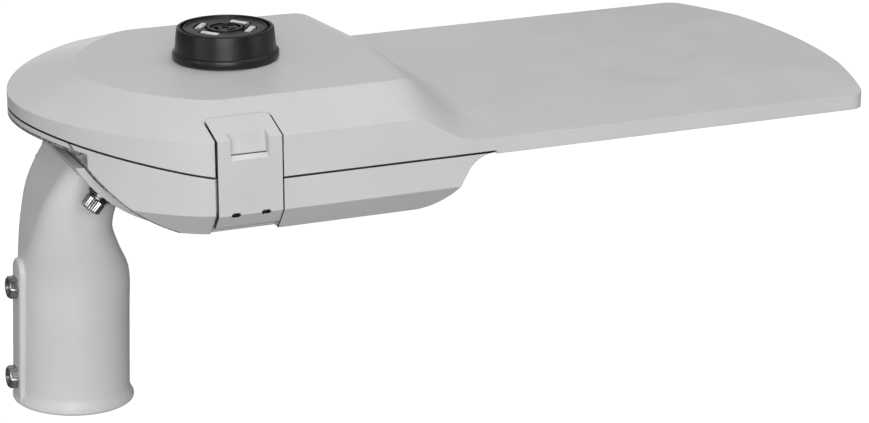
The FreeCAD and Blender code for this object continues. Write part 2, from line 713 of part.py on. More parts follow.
def build_cover():
    gear_form = flared_prism("cover_form", "sizes.plateau_z", "sizes.plateau_inset", "sizes.wall_top_z", "0",
                             "sizes.seam_z - 12", "sizes.shoulder_x")
    ogee = new_body("cover_ogee")
    steps = 8
    sections = [ogee_section(ogee, f"cover_ogee_{number}", number / steps) for number in range(steps + 1)]
    loft(ogee, "cover_ogee_loft", "Additive", *sections, ruled=False)
    crown = "sizes.panel_crown_half"
    panel_view = [("-" + WALL, "sizes.seam_z - 12"), (WALL, "sizes.seam_z - 12"), (WALL, "sizes.panel_edge_z"),
                  (crown, "sizes.panel_crown_z"), ("-" + crown, "sizes.panel_crown_z"),
                  ("-" + WALL, "sizes.panel_edge_z")]
    panel = prism("cover_panel", "YZ_Plane", panel_view, "sizes.end_tip - sizes.toe_x + 5", offset="sizes.toe_x")
    solid = joined("Fuse", "cover_solid", gear_form, ogee, panel)
    front = "sizes.tray_front + 1"
    under = [("-150", UP), ("-150", seam_level("-150", "sizes.seam_gap / 2")), ("sizes.seam_bend_x", SEAM_HIGH),
             (front, SEAM_HIGH), (front, "sizes.panel_under_z"), ("sizes.end_tip + 20", "sizes.panel_under_z"),
             ("sizes.end_tip + 20", UP)]
    outside = joined("Common", "cover_outside", solid, cover_plan("cover_plan", "0"),
                     prism("cover_under", "XZ_Plane", under, FAR, side="Symmetric"))
    wall = "sizes.cover_wall"
    gear_space = flared_prism("cover_space", f"sizes.plateau_z - {wall}", "sizes.plateau_inset",
                              f"sizes.wall_top_z - 0.72 * {wall}", wall, "sizes.seam_z - 12",
                              f"sizes.shoulder_x - {wall}")
    shoulder = "sizes.shoulder_x"
    step_space = box("cover_step_space", f"{shoulder} - 10", f"{shoulder} + 21", f"-({WALL} - 34)", f"{WALL} - 34",
                     "0", "sizes.wall_top_z - 9.5")
    low_space = box("cover_low_space", f"{shoulder} - 10", f"{shoulder} + 44", f"-({WALL} - 3 * {wall})",
                    f"{WALL} - 3 * {wall}", "0", "sizes.panel_edge_z - 5")
    chamber = box("cover_chamber", "derived.chamber_start", "derived.chamber_end", "-derived.chamber_half",
                  "derived.chamber_half", "0", "sizes.chamber_roof_z")
    wire_way = box("cover_wire_way", f"{shoulder} + 40", "derived.chamber_start + 2", "-12", "12",
                   "sizes.seam_z + 0.7", "sizes.chamber_roof_z - 0.3")
    shell = joined("Cut", "cover_shell", outside,
                   joined("Fuse", "cover_spaces", gear_space, step_space, low_space, chamber, wire_way))
    niche_wall = joined("Common", "cover_niche_wall", outside,
                        niche_box("cover_niche_block", "sizes.niche_wall", "sizes.niche_wall", "0", UP))
    walled = joined("Fuse", "cover_walled", shell, niche_wall,
                    *knuckles("cover_knuckle", "sizes.cover_knuckle", ["0"], "sizes.hinge_radius"),
                    *hinge_webs("cover_web", "sizes.cover_knuckle", ["0"], SEAM_HIGH,
                                "sizes.seam_z + sizes.hinge_radius"))
    niche_end, corner = f"-({WALL} - derived.niche_depth)", "(sizes.latch_corner + sizes.latch_play)"
    cover_niche = prism("cover_niche", "XY_Plane", [
        (NICHE_WEST, "-200"), (NICHE_EAST, "-200"), (NICHE_EAST, f"{niche_end} - {corner}"),
        (f"{NICHE_EAST} - {corner}", niche_end, corner), (f"{NICHE_WEST} + {corner}", niche_end),
        (NICHE_WEST, f"{niche_end} - {corner}", corner)], FAR)
    socket_hole = rod("cover_socket_hole", "sizes.socket_neck + 0.4", "60",
                      ("sizes.socket_x", "0", "sizes.plateau_z - 50"))
    open_cover = joined("Cut", "cover_open", walled,
                        joined("Fuse", "cover_cuts", cover_niche, socket_hole,
                               *knuckles("cover_hinge_hole", "60", ["0"], "sizes.hinge_pin_radius + sizes.pin_play"),
                               *lens_screw_rods("cover_lens_hole", "sizes.chamber_roof_z - 1", "2.6")))
    back = f"-({WALL} - derived.niche_depth)"
    lip_view = [(f"{back} + 1", "sizes.catch_z - 4"), (f"{back} + 1", "sizes.catch_z"),
                (f"{back} - sizes.catch_depth", "sizes.catch_z"),
                (f"{back} - sizes.catch_depth", "sizes.catch_z - 1.2"), (back, "sizes.catch_z - 4")]
    lip = prism("cover_catch", "YZ_Plane", lip_view, "10", offset="sizes.latch_x - 5")
    finish("cover", joined("Fuse", "cover_casting", open_cover, lip))


# Screw places and the plates they hold.

POSTS = [(across, f"{side}(derived.gear_plate_half - sizes.post_inset)")
         for across in ("derived.gear_plate_west + sizes.post_inset", "sizes.gear_plate_east - sizes.post_inset")
         for side in ("-", "")]
BOLT_TIP = "sizes.seat_radius + sizes.seat_gap + sizes.saddle_thickness + sizes.washer_gap" \
           " + sizes.washer_height + sizes.spring_washer_height - sizes.tilt_bolt_length"
LATCH_PIN_START = f"{LATCH_WEST} + 0.5"
LATCH_PIN_LENGTH = "sizes.latch_width - 1"
MODULES = [(across, depth) for across in ("-1", "1") for depth in ("-1", "1")]


def module_place(row, column):
    """Middle of one light module."""
    centre = "(derived.chamber_start + derived.chamber_end) / 2"
    return (f"{centre} + ({row}) * (derived.module_length + sizes.module_gap) / 2",
            f"({column}) * (derived.module_width + sizes.module_gap) / 2")


def module_block(name, row, column, inset, low, high):
    across, depth = module_place(row, column)
    half_length, half_width = f"(derived.module_length / 2 - ({inset}))", f"(derived.module_width / 2 - ({inset}))"
    return box(name, f"{across} - {half_length}", f"{across} + {half_length}", f"{depth} - {half_width}",
               f"{depth} + {half_width}", low, high)


def lens_screw_rods(name, start, length, radius="sizes.lens_screw_radius"):
    rods = []
    for row, column in MODULES:
        across, depth = module_place(row, column)
        for number, (way, side) in enumerate(MODULES):
            place = (f"{across} + ({way}) * (derived.module_length / 2 - sizes.lens_screw_inset)",
                     f"{depth} + ({side}) * (derived.module_width / 2 - sizes.lens_screw_inset)", start)
            rods.append(rod(f"{name}_{len(rods)}_{number}", radius, length, place))
    return rods


# The spigot stands upright on the pole: socket, neck, hood and the saddle under the drum of the tray.

def world_drum(name, radius):
    drum = seat_cylinder(name, radius)
    drum.setExpression("Placement.Base.x", "derived.seat_world_x")
    drum.setExpression("Placement.Base.z", "derived.seat_world_z")
    return drum


def seat_ray(reach, angle):
    """Point on a line from the tilting axis, angle below the level, in the upright frame."""
    return f"derived.seat_world_x - ({reach}) * cos({angle})", f"derived.seat_world_z - ({reach}) * sin({angle})"


def neck_loft(name, start, start_radius, inset):
    """Leaning elbow of round sections, made slimmer by inset, from start to above the saddle."""
    body = new_body(name)
    sections = []
    for level, shift, radius in ((start, "0", start_radius),
                                 ("sizes.waist_z", "sizes.waist_shift", f"sizes.waist_radius - {inset}"),
                                 ("sizes.elbow_z", "sizes.elbow_shift", f"sizes.elbow_radius - {inset}"),
                                 ("sizes.crown_z", "sizes.crown_shift", f"sizes.elbow_radius - {inset}"),
                                 ("sizes.neck_end_z", "sizes.neck_end_shift", f"sizes.elbow_radius - {inset}")):
        sketch = new_sketch(body, f"{name}_{len(sections)}", "XY_Plane", level)
        sections.append(draw_circle(sketch, shift, "0", radius))
    loft(body, name + "_loft", "Additive", *sections, ruled=False)
    return body


def build_spigot():
    top = "sizes.socket_top_radius"
    collar = "derived.collar_radius"
    tube = new_body("spigot_tube")
    half_view = draw_outline(new_sketch(tube, "spigot_half", "XZ_Plane"), [
        ("0", "0"), (f"{collar} - sizes.collar_round", "0"), (collar, "sizes.collar_round", "sizes.collar_round"),
        ("derived.tube_foot_radius", "sizes.collar_height", "-sizes.collar_sweep"),
        (top, "sizes.neck_start_z"), ("0", "sizes.neck_start_z")])
    turn = tube.newObject("PartDesign::Revolution", "spigot_turn")
    turn.Profile = half_view
    turn.ReferenceAxis = (half_view, ["V_Axis"])
    neck = joined("Common", "spigot_neck_form", neck_loft("spigot_neck", "sizes.neck_start_z", top, "0"),
                  box("spigot_neck_reach", "-60", "sizes.saddle_low_x", "-60", "60", "0", "sizes.hood_top_z"))
    flange = joined("Common", "spigot_flange", world_drum("spigot_flange_drum", "derived.saddle_outer"),
                    box("spigot_flange_box", "-60", "sizes.saddle_low_x", "-sizes.saddle_half_width",
                        "sizes.saddle_half_width", "sizes.saddle_low_z", "sizes.hood_top_z"))
    rib_end_z = "sizes.rib_top - sizes.rib_width / 2"
    rib = joined("Fuse", "spigot_rib",
                 box("spigot_rib_bar", "-sizes.rib_reach", "-derived.bore_radius", "-sizes.rib_width / 2",
                     "sizes.rib_width / 2", "sizes.collar_round", rib_end_z),
                 rod("spigot_rib_end", "sizes.rib_width / 2", "sizes.rib_reach - derived.bore_radius",
                     ("-sizes.rib_reach", "0", rib_end_z), "x"))
    solid = joined("Fuse", "spigot_solid", tube, neck, flange, rib)
    bore = rod("spigot_bore", "derived.bore_radius", "sizes.socket_depth + 1", ("0", "0", "-1"))
    passage = neck_loft("spigot_passage", "sizes.socket_depth - 1", "derived.bore_radius - sizes.pole_stop",
                        "sizes.neck_wall")
    slots = []
    for side in ("-", ""):
        play = "(sizes.tilt_bolt_radius + sizes.tilt_slot_play) / sizes.seat_radius * 180 / pi"
        rest = "(sizes.tilt_bolt_angle + sizes.head_tilt)"
        upper = f"{rest} - sizes.tilt_down_limit - {play}"
        lower = f"{rest} + sizes.tilt_up_limit + {play}"
        inner, outer = "sizes.seat_radius - 20", "derived.saddle_outer + 20"
        view = [seat_ray(inner, upper), seat_ray(outer, upper), seat_ray(outer, lower), seat_ray(inner, lower)]
        slots.append(prism(f"spigot_slot_{len(slots)}", "XZ_Plane", view,
                           "2 * (sizes.tilt_bolt_radius + sizes.tilt_slot_play)",
                           offset=f"-({side}sizes.tilt_bolt_y) - sizes.tilt_bolt_radius - sizes.tilt_slot_play"))
    screw_holes = clamp_rods("spigot_screw_hole", "sizes.clamp_screw_diameter / 2", "-60",
                             "60 - derived.bore_radius + sizes.socket_wall")
    cuts = joined("Fuse", "spigot_cuts", bore, passage, *slots, *screw_holes,
                  world_drum("spigot_seat", "sizes.seat_radius + sizes.seat_gap"))
    finish("spigot", joined("Cut", "spigot_casting", solid, cuts), on_head=False)


def clamp_rods(name, radius, start, length):
    return [rod(f"{name}_{number}", radius, length, (start, "0", level), "x")
            for number, level in enumerate(("sizes.clamp_screw_low", "sizes.clamp_screw_high"))]


def hexagon(name, role, across, centre, height, offset):
    """Six-sided bar, across flats, on one of the main planes."""
    corners = [(f"({centre[0]}) + ({across}) / sqrt(3) * cos({60 * step})",
                f"({centre[1]}) + ({across}) / sqrt(3) * sin({60 * step})") for step in range(6)]
    return prism(name, role, corners, height, offset=offset)


def build_clamp_screws():
    screws = []
    head_start = "-(sizes.rib_reach + sizes.clamp_head_height)"
    shanks = clamp_rods("clamp_shank", "sizes.clamp_screw_diameter / 2", "-sizes.rib_reach - 1",
                        "sizes.rib_reach + 1 - derived.bore_radius - sizes.clamp_tip_gap")
    for number, level in enumerate(("sizes.clamp_screw_low", "sizes.clamp_screw_high")):
        head = hexagon(f"clamp_head_{number}", "YZ_Plane", "sizes.clamp_head_across", ("0", level),
                       "sizes.clamp_head_height", head_start)
        recess = rod(f"clamp_recess_{number}", "sizes.clamp_screw_diameter / 2 - 0.6", "sizes.clamp_recess_depth",
                     (head_start, "0", level), "x")
        screws.append(joined("Cut", f"clamp_screw_{number}",
                             joined("Fuse", f"clamp_whole_{number}", head, shanks[number]), recess))
    group("clamp_screws", screws, on_head=False)


def build_tilt_bolts():
    outer = "sizes.seat_radius + sizes.seat_gap + sizes.saddle_thickness + sizes.washer_gap"
    angle = "sizes.tilt_bolt_angle"
    spring_start = f"{outer} + sizes.washer_height"
    head_start = f"{spring_start} + sizes.spring_washer_height"
    bolts, washers, springs = [], [], []
    for number, side in enumerate(("-", "")):
        across = f"{side}sizes.tilt_bolt_y"
        shank = radial_rod(f"bolt_shank_{number}", "sizes.tilt_bolt_radius", BOLT_TIP, "sizes.tilt_bolt_length",
                           angle, across)
        head = radial_rod(f"bolt_head_{number}", "sizes.tilt_bolt_head_radius", head_start,
                          "sizes.tilt_bolt_head_height", angle, across)
        socket = radial_rod(f"bolt_socket_{number}", "3.4", f"{head_start} + 3.5", "6", angle, across)
        bolts.append(joined("Cut", f"tilt_bolt_{number}",
                            joined("Fuse", f"bolt_whole_{number}", shank, head), socket))
        hole = radial_rod(f"washer_hole_{number}", "sizes.tilt_bolt_radius + 0.15", outer, "9", angle, across)
        washers.append(joined("Cut", f"tilt_washer_{number}",
                              radial_rod(f"washer_disc_{number}", "sizes.washer_radius", outer,
                                         "sizes.washer_height", angle, across), hole))
        springs.append(joined("Cut", f"tilt_spring_{number}",
                              radial_rod(f"spring_disc_{number}", "sizes.spring_washer_radius", spring_start,
                                         "sizes.spring_washer_height", angle, across), hole))
    group("tilt_bolts", bolts)
    group("tilt_washers", washers)
    group("tilt_spring_washers", springs)


# The latch on the near side and its leaf spring.

def build_latch():
    slope = "(sizes.tray_chamfer / derived.chamfer_fall)"
    thick = "sizes.latch_thickness"
    lean = "derived.shoulder_slope"
    flap = f"-({WALL} - sizes.latch_top_reach)"
    flap_z = f"sizes.wall_top_z + sizes.latch_top_reach * {lean}"
    inner_y = f"-({WALL} - {thick})"
    inner_drop = f"{thick} * sqrt(1 + {lean}^2)"
    inner_shift = f"{thick} * sqrt(1 + {slope}^2)"
    bend = "sizes.side_bottom_z"
    foot = "sizes.latch_foot_z"
    outer_foot = f"-{WALL} + ({bend} - {foot}) * {slope}"
    upper = [("-" + WALL, "sizes.wall_top_z"), (flap, flap_z), (flap, f"{flap_z} - {inner_drop}"),
             (inner_y, f"sizes.wall_top_z + {thick} * {lean} - {inner_drop}"),
             (inner_y, f"{bend} + ({inner_shift} - {thick}) / {slope}")]
    plate = prism("latch_plate", "YZ_Plane", upper + [
        (f"{outer_foot} + {inner_shift}", foot), (outer_foot, foot), ("-" + WALL, bend)],
                  "sizes.latch_width", offset=LATCH_WEST)
    corner = "sizes.latch_corner"
    plan = prism("latch_plan", "XY_Plane", [
        (LATCH_WEST, "-200"), (LATCH_EAST, "-200"), (LATCH_EAST, f"{flap} - {corner}"),
        (f"{LATCH_EAST} - {corner}", flap, corner), (f"{LATCH_WEST} + {corner}", flap),
        (LATCH_WEST, f"{flap} - {corner}", corner)], UP)
    plate_cut = joined("Common", "latch_plate_round", plate, plan)
    barrel = rod("latch_barrel", "sizes.latch_barrel_radius", "sizes.latch_neck_width",
                 (NECK_WEST, "derived.latch_pin_y", "sizes.latch_pin_z"), "x")
    grip_low, grip_high = "sizes.grip_bottom_z", "sizes.grip_top_z"
    grip_back = f"-({WALL} - sizes.grip_back)"
    grip_top = f"sizes.wall_top_z + sizes.grip_back * {lean}"
    cup = prism("latch_cup", "YZ_Plane", [
        ("-" + WALL, f"{grip_low} - 2.4"), (f"-({WALL} - 5)", f"{grip_low} - 2.4"),
        (f"{grip_back} + 2.4", f"{grip_high} - 2"), (f"{grip_back} + 2.4", f"{grip_top} + 2.4 * {lean}"),
        ("-" + WALL, "sizes.wall_top_z")], "sizes.grip_width + 4", offset="sizes.latch_x - sizes.grip_width / 2 - 2")
    pocket = prism("latch_pocket", "YZ_Plane", [
        ("-150", grip_low), (f"-({WALL} - 3.4)", grip_low), (grip_back, f"{grip_high} - 1"), (grip_back, UP),
        ("-150", UP)], "sizes.grip_width", offset="sizes.latch_x - sizes.grip_width / 2")
    whole = joined("Fuse", "latch_whole", plate_cut, barrel, cup)
    pin_bore = rod("latch_bore", "sizes.latch_pin_radius + sizes.pin_play", "sizes.latch_width",
                   (LATCH_WEST, "derived.latch_pin_y", "sizes.latch_pin_z"), "x")
    slots = []
    half, end = "(sizes.latch_slot_length - sizes.latch_slot_height) / 2", "sizes.latch_slot_height / 2"
    for side in ("-", ""):
        middle = f"(sizes.latch_x + {side}sizes.latch_slot_pitch / 2)"
        slots.append(prism(f"latch_slot_{len(slots)}", "XZ_Plane", [
            (f"{middle} - {half}", f"{bend} - {end}", f"1.1 * {end}"), (f"{middle} + {half}", f"{bend} - {end}"),
            (f"{middle} + {half}", f"{bend} + {end}", f"1.1 * {end}"), (f"{middle} - {half}", f"{bend} + {end}")],
                           FAR, side="Symmetric"))
    rivet_places = [f"sizes.latch_x {side} sizes.rivet_pitch / 2" for side in "-+"]
    rivet_z = "sizes.latch_pin_z + sizes.rivet_rise"
    rivet_holes = [rod(f"latch_rivet_hole_{number}", "sizes.rivet_radius", f"{thick} + 1",
                       (across, f"-{WALL} + 1", rivet_z), "y") for number, across in enumerate(rivet_places)]
    finish("latch", joined("Cut", "latch_part", whole,
                           joined("Fuse", "latch_cuts", pocket, pin_bore, *slots, *rivet_holes)))
    strip = "sizes.strip_thickness"
    hook_z = "sizes.catch_z + 0.3"
    hook_y = f"-({WALL} - derived.niche_depth) - sizes.catch_depth"
    spring = prism("spring_strip", "YZ_Plane", [
        (inner_y, f"{rivet_z} - 4"), (f"{inner_y} + {strip}", f"{rivet_z} - 4"),
        (f"{inner_y} + {strip}", f"{hook_z} + 0.6"), (f"{hook_y} - 2", f"{hook_z} + 2.4"), (f"{hook_y} + 1.6", hook_z),
        (f"{hook_y} + 2.2", f"{hook_z} + 0.6"), (f"{hook_y} - 1.8", f"{hook_z} + 3.3"),
        (inner_y, f"{hook_z} + 1.3")], "sizes.latch_spring_width", offset="sizes.latch_x - sizes.latch_spring_width / 2")
    holes = [rod(f"spring_rivet_hole_{number}", "sizes.rivet_radius", "5", (across, f"{inner_y} - 1", rivet_z), "y")
             for number, across in enumerate(rivet_places)]
    finish("latch_spring", joined("Cut", "latch_spring_part", spring, joined("Fuse", "spring_holes", *holes)))
    rivets = []
    for number, across in enumerate(rivet_places):
        shank = rod(f"rivet_shank_{number}", "sizes.rivet_radius", f"{thick} - 1 + {strip} + 0.4",
                    (across, f"-{WALL} + 1", rivet_z), "y")
        head = rod(f"rivet_head_{number}", "1.7 * sizes.rivet_radius", "0.9",
                   (across, f"{inner_y} + {strip}", rivet_z), "y")
        rivets.append(joined("Fuse", f"rivet_{number}", shank, head))
    group("latch_rivets", rivets)
    finish("latch_pin", rod("latch_pin_bar", "sizes.latch_pin_radius", LATCH_PIN_LENGTH,
                            (LATCH_PIN_START, "derived.latch_pin_y", "sizes.latch_pin_z"), "x"))
    group("hinge_pins", knuckles("hinge_pin", "sizes.cover_knuckle + 2 * sizes.tray_knuckle + 3", ["0"],
                                 "sizes.hinge_pin_radius"))


# The photocell socket on the plateau: black body, seal, contacts and the nut inside.

def ring(name, inner, outer, low, high, across="sizes.socket_x"):
    disc = rod(name + "_disc", outer, f"({high}) - ({low})", (across, "0", low))
    return joined("Cut", name, disc, rod(name + "_hole", inner, f"({high}) - ({low}) + 2", (across, "0", f"({low}) - 1")))


def contact_blocks(name, grow, low, high):
    """Four blocks round the socket's axis, where the contacts lie."""
    blocks = []
    for number, angle in enumerate((37, 143, 217, 323)):
        block = doc.addObject("Part::Box", f"{name}_{number}")
        block.setExpression("Length", f"sizes.contact_length + 2 * ({grow})")
        block.setExpression("Width", f"sizes.contact_width + 2 * ({grow})")
        block.setExpression("Height", f"({high}) - ({low})")
        block.Placement.Rotation = FreeCAD.Rotation(FreeCAD.Vector(0, 0, 1), angle)
        inner = f"(sizes.contact_reach - sizes.contact_length / 2 - ({grow}))"
        half = f"(sizes.contact_width / 2 + ({grow}))"
        block.setExpression("Placement.Base.x", f"sizes.socket_x + {inner} * cos({angle}) + {half} * sin({angle})")
        block.setExpression("Placement.Base.y", f"{inner} * sin({angle}) - {half} * cos({angle})")
        block.setExpression("Placement.Base.z", low)
        blocks.append(block)
    return blocks


def build_socket():
    foot = "sizes.plateau_z + sizes.socket_seal_height"
    top = "sizes.socket_top_z"
    shelf = f"({foot} + sizes.socket_flange_height)"
    body = new_body("socket_body")
    half_view = draw_outline(new_sketch(body, "socket_half", "XZ_Plane"), [
        ("0", foot), ("sizes.socket_flange_reach", foot),
        ("sizes.socket_flange_reach", f"{shelf} - 1"), ("sizes.socket_flange_reach - 1", shelf, "1"),
        ("sizes.socket_skirt_reach", shelf), ("sizes.socket_top_reach", f"{top} - 1.2"),
        ("sizes.socket_top_reach - 1.2", top, "1.2"), ("sizes.socket_top_reach - 4", top),
        ("sizes.socket_top_reach - 4.5", f"{top} - 4"), ("10", f"{top} - 4"), ("9.5", f"{top} - 1.5"),
        ("0", f"{top} - 1.5")])
    turn = body.newObject("PartDesign::Revolution", "socket_turn")
    turn.Profile = half_view
    turn.ReferenceAxis = (half_view, ["V_Axis"])
    body.setExpression("Placement.Base.x", "sizes.socket_x")
    neck = rod("socket_neck_bar", "sizes.socket_neck", "14.5", ("sizes.socket_x", "0", "sizes.plateau_z - 13"))
    floor = f"{top} - 4"
    pockets = contact_blocks("contact_pocket", "0.6", f"{floor} - 2.4", f"{floor} + 3")
    slots = []
    for number, angle in enumerate((0, 120, 240)):
        slots.append(joined("Common", f"socket_slot_{number}",
                            ring(f"socket_slot_ring_{number}", "4.6", "7.2", f"{top} - 9", f"{top} + 1"),
                            prism(f"socket_slot_view_{number}", "XY_Plane",
                                  [("sizes.socket_x", "0"),
                                   (f"sizes.socket_x + 20 * cos({angle + 20})", f"20 * sin({angle + 20})"),
                                   (f"sizes.socket_x + 20 * cos({angle + 95})", f"20 * sin({angle + 95})")], UP)))
    wires = rod("socket_wire_way", "6", "11", ("sizes.socket_x", "0", "sizes.plateau_z - 14"))
    finish("photocell_socket", joined("Cut", "socket_part", joined("Fuse", "socket_whole", body, neck),
                                      joined("Fuse", "socket_cuts", wires, *pockets, *slots)))
    group("socket_contacts", contact_blocks("socket_contact", "0", f"{floor} - 2.4", f"{floor} - 0.8"))
    finish("socket_seal", ring("socket_seal_ring", "sizes.socket_neck + 0.6", "sizes.socket_flange_reach - 1",
                               "sizes.plateau_z", foot))
    under = "sizes.plateau_z - sizes.cover_wall"
    finish("socket_nut", joined("Cut", "socket_nut_part",
                                hexagon("socket_nut_bar", "XY_Plane", "50", ("sizes.socket_x", "0"), "5", f"{under} - 5"),
                                rod("socket_nut_hole", "sizes.socket_neck", "9",
                                    ("sizes.socket_x", "0", f"{under} - 7"))))


# Light modules in the chamber under the panel.

def build_modules():
    roof = "sizes.chamber_roof_z"
    board_z = "derived.board_z"
    seal_z = f"({board_z} - sizes.seal_thickness)"
    plate_z = "derived.plate_z"
    boards, seals, plates, chips = [], [], [], []
    holes = lens_screw_rods("lens_screw_hole", f"{plate_z} - 4", "12")
    for number, (row, column) in enumerate(MODULES):
        own = joined("Fuse", f"lens_holes_{number}", *holes[4 * number:4 * number + 4])
        boards.append(joined("Cut", f"led_board_{number}",
                             module_block(f"board_{number}", row, column, "1", board_z, roof), own))
        seal_ring = joined("Cut", f"seal_ring_{number}",
                           module_block(f"seal_outer_{number}", row, column, "0.3", seal_z, board_z),
                           module_block(f"seal_inner_{number}", row, column, "9", "0", UP))
        seals.append(joined("Cut", f"lens_seal_{number}", seal_ring, own))
        across, depth = module_place(row, column)
        domes = []
        for step in range(12):
            place = (f"{across} + ({step // 4 - 1}) * derived.lens_pitch_x",
                     f"{depth} + ({step % 4 - 1.5}) * derived.lens_pitch_y")
            dome = doc.addObject("Part::Cone", f"dome_{number}_{step}")
            for extent, size in (("Radius1", "sizes.dome_top_radius"), ("Radius2", "sizes.dome_radius"),
                                 ("Height", "sizes.dome_height + sizes.lens_thickness / 2")):
                dome.setExpression(extent, size)
            for letter, position in zip("xyz", (*place, f"{plate_z} - sizes.dome_height")):
                dome.setExpression(f"Placement.Base.{letter}", position)
            domes.append(dome)
            half = "sizes.chip_size / 2"
            chips.append(box(f"led_chip_{number}_{step}", f"{place[0]} - {half}", f"{place[0]} + {half}",
                             f"{place[1]} - {half}", f"{place[1]} + {half}", f"{board_z} - sizes.chip_height",
                             board_z))
        plate = joined("Fuse", f"lens_whole_{number}",
                       module_block(f"lens_slab_{number}", row, column, "0", plate_z, seal_z), *domes)
        plates.append(joined("Cut", f"lens_plate_{number}", plate, own))
    group("led_boards", boards)
    group("lens_seals", seals)
    group("lens_plates", plates)
    group("led_chips", chips)
    shanks = lens_screw_rods("lens_shank", plate_z, f"{roof} + 1.5 - ({plate_z})")
    heads = lens_screw_rods("lens_head", f"{plate_z} - 1.8", "1.8", "2.8")
    group("lens_screws", [joined("Fuse", f"lens_screw_{number}", shank, head)
                          for number, (shank, head) in enumerate(zip(shanks, heads))])


# Gear on its plate inside the tray.

def build_gear():
    low = "sizes.gear_plate_z"
    top = "derived.gear_top"
    plate = box("gear_plate_sheet", "derived.gear_plate_west", "sizes.gear_plate_east",
                "-derived.gear_plate_half", "derived.gear_plate_half", low, top)
    finish("gear_plate", joined("Cut", "gear_plate_part", plate,
                                joined("Fuse", "gear_plate_holes", *plate_screw_rods("gear_plate_hole"))))
    shanks = plate_screw_rods("gear_screw_shank")
    for shank in shanks:
        shank.setExpression("Height", "sizes.gear_plate_thickness + 6")
    group("gear_plate_screws", [
        joined("Fuse", f"gear_screw_{number}", shank, rod(f"gear_screw_head_{number}", "3.6", "2.4", (*place, top)))
        for number, (shank, place) in enumerate(zip(shanks, POSTS))])
    west, east = "derived.gear_plate_west", "sizes.gear_plate_east"
    finish("driver", box("driver_case", f"{east} - 4 - sizes.driver_length", f"{east} - 4", "-sizes.driver_width / 2",
                         "sizes.driver_width / 2", top, f"{top} + sizes.driver_height"))
    finish("surge_protector", box("surge_case", f"{west} + 4", f"{west} + 4 + sizes.surge_length", "30",
                                  "30 + sizes.surge_width", top, f"{top} + sizes.surge_height"))
    bar_west = f"({west} + sizes.cable_clamp_length + 8)"
    terminal = box("terminal_bar", bar_west, f"{bar_west} + sizes.terminal_length", "-10 - sizes.terminal_width",
                   "-10", top, f"{top} + sizes.terminal_height")
    ways, wells = [], []
    for number in range(5):
        middle = f"(-10 - ({number} + 0.5) * sizes.terminal_pitch)"
        ways.append(box(f"terminal_way_{number}", f"{bar_west} - 2", f"{bar_west} + 8", f"{middle} - 3.5",
                        f"{middle} + 3.5", f"{top} + 6", f"{top} + 13"))
        wells.append(rod(f"terminal_well_{number}", "2.4", "sizes.terminal_height",
                         (f"{bar_west} + 15", middle, f"{top} + 14")))
    finish("terminal_block", joined("Cut", "terminal_part", terminal, joined("Fuse", "terminal_holes", *ways, *wells)))
    clamp_west = f"({west} + 3)"
    clamp_bar = box("cable_clamp_bar", clamp_west, f"{clamp_west} + sizes.cable_clamp_length",
                    "-sizes.cable_clamp_width / 2", "sizes.cable_clamp_width / 2", top,
                    f"{top} + sizes.cable_clamp_height")
    cable = rod("cable_clamp_way", "sizes.cable_radius", "sizes.cable_clamp_length + 4",
                (f"{clamp_west} - 2", "0", f"{top} + 2.5"), "x")
    holes, screws = [], []
    for side in ("-", ""):
        place = (f"{clamp_west} + sizes.cable_clamp_length / 2",
                 f"{side}(sizes.cable_clamp_width / 2 - sizes.clamp_screw_inset)")
        holes.append(rod(f"cable_clamp_hole_{side}", "sizes.cable_clamp_screw", "sizes.cable_clamp_height + 2",
                         (*place, f"{top} - 1")))
        screws.append(joined("Fuse", f"cable_clamp_screw_{side}",
                             rod(f"clamp_screw_shank_{side}", "sizes.cable_clamp_screw", "sizes.cable_clamp_height",
                                 (*place, top)),
                             rod(f"clamp_screw_cap_{side}", "3", "2", (*place, f"{top} + sizes.cable_clamp_height"))))
    finish("cable_clamp", joined("Cut", "cable_clamp_part", clamp_bar,
                                 joined("Fuse", "cable_clamp_cuts", cable, *holes)))
    group("cable_clamp_screws", screws)
    angle = "sizes.tilt_bolt_angle"
    inside = "sizes.seat_radius - sizes.tray_floor"
    bush = joined("Fuse", "bush_whole",
                  radial_rod("bush_neck_bar", "sizes.bush_neck", f"{inside} - 2", "sizes.tray_floor + 1.5", angle, "0"),
                  radial_rod("bush_lip", "sizes.bush_neck + 4", f"{inside} - 4.2", "3", angle, "0"))
    finish("cable_bush", joined("Cut", "cable_bush_part", bush,
                                radial_rod("bush_hole", "5.5", f"{inside} - 10", "20", angle, "0")))
    vent_place = ("sizes.vent_x", "sizes.vent_y")
    vent = hexagon("vent_head", "XY_Plane", "13", vent_place, "3", "sizes.tray_bottom_z - 3")
    finish("vent_plug", joined("Fuse", "vent_part", vent,
                               rod("vent_neck_bar", "sizes.vent_neck", "sizes.tray_floor + 3",
                                   (*vent_place, "sizes.tray_bottom_z - 1"))))
    finish("cover_gasket", gasket_ring("gasket", "-sizes.seam_gap / 2 - sizes.gasket_depth", "sizes.seam_gap / 2"))


build_tray()
build_cover()
build_spigot()
build_clamp_screws()
build_tilt_bolts()
build_latch()
build_socket()
build_modules()
build_gear()
for piece in HEAD_NODES:
    if piece.TypeId in ("Part::Cylinder", "Part::Box"):
        wrapped = doc.addObject("Part::Compound", piece.Label + "_turned")
        wrapped.Links = [piece]
        label, piece.Label = piece.Label, piece.Label + "_level"
        wrapped.Label = label
        NODES[label] = wrapped
        piece = wrapped
    piece.Placement.Rotation = FreeCAD.Rotation(FreeCAD.Vector(0, -1, 0), 1)
    piece.setExpression("Placement.Rotation.Angle", "sizes.head_tilt")
doc.recompute()

faults = [item.Name for item in doc.Objects if {"Invalid", "Error"} & set(item.State)]
if faults:
    raise SystemExit("objects in error: " + ", ".join(faults))
os.makedirs("parts", exist_ok=True)
for node, piece in NODES.items():
    shape = piece.Shape
    if shape.isNull() or not shape.isValid():
        raise SystemExit("bad shape: " + node)
    shape.exportStep(os.path.join("parts", node + ".step"))
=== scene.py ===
import math

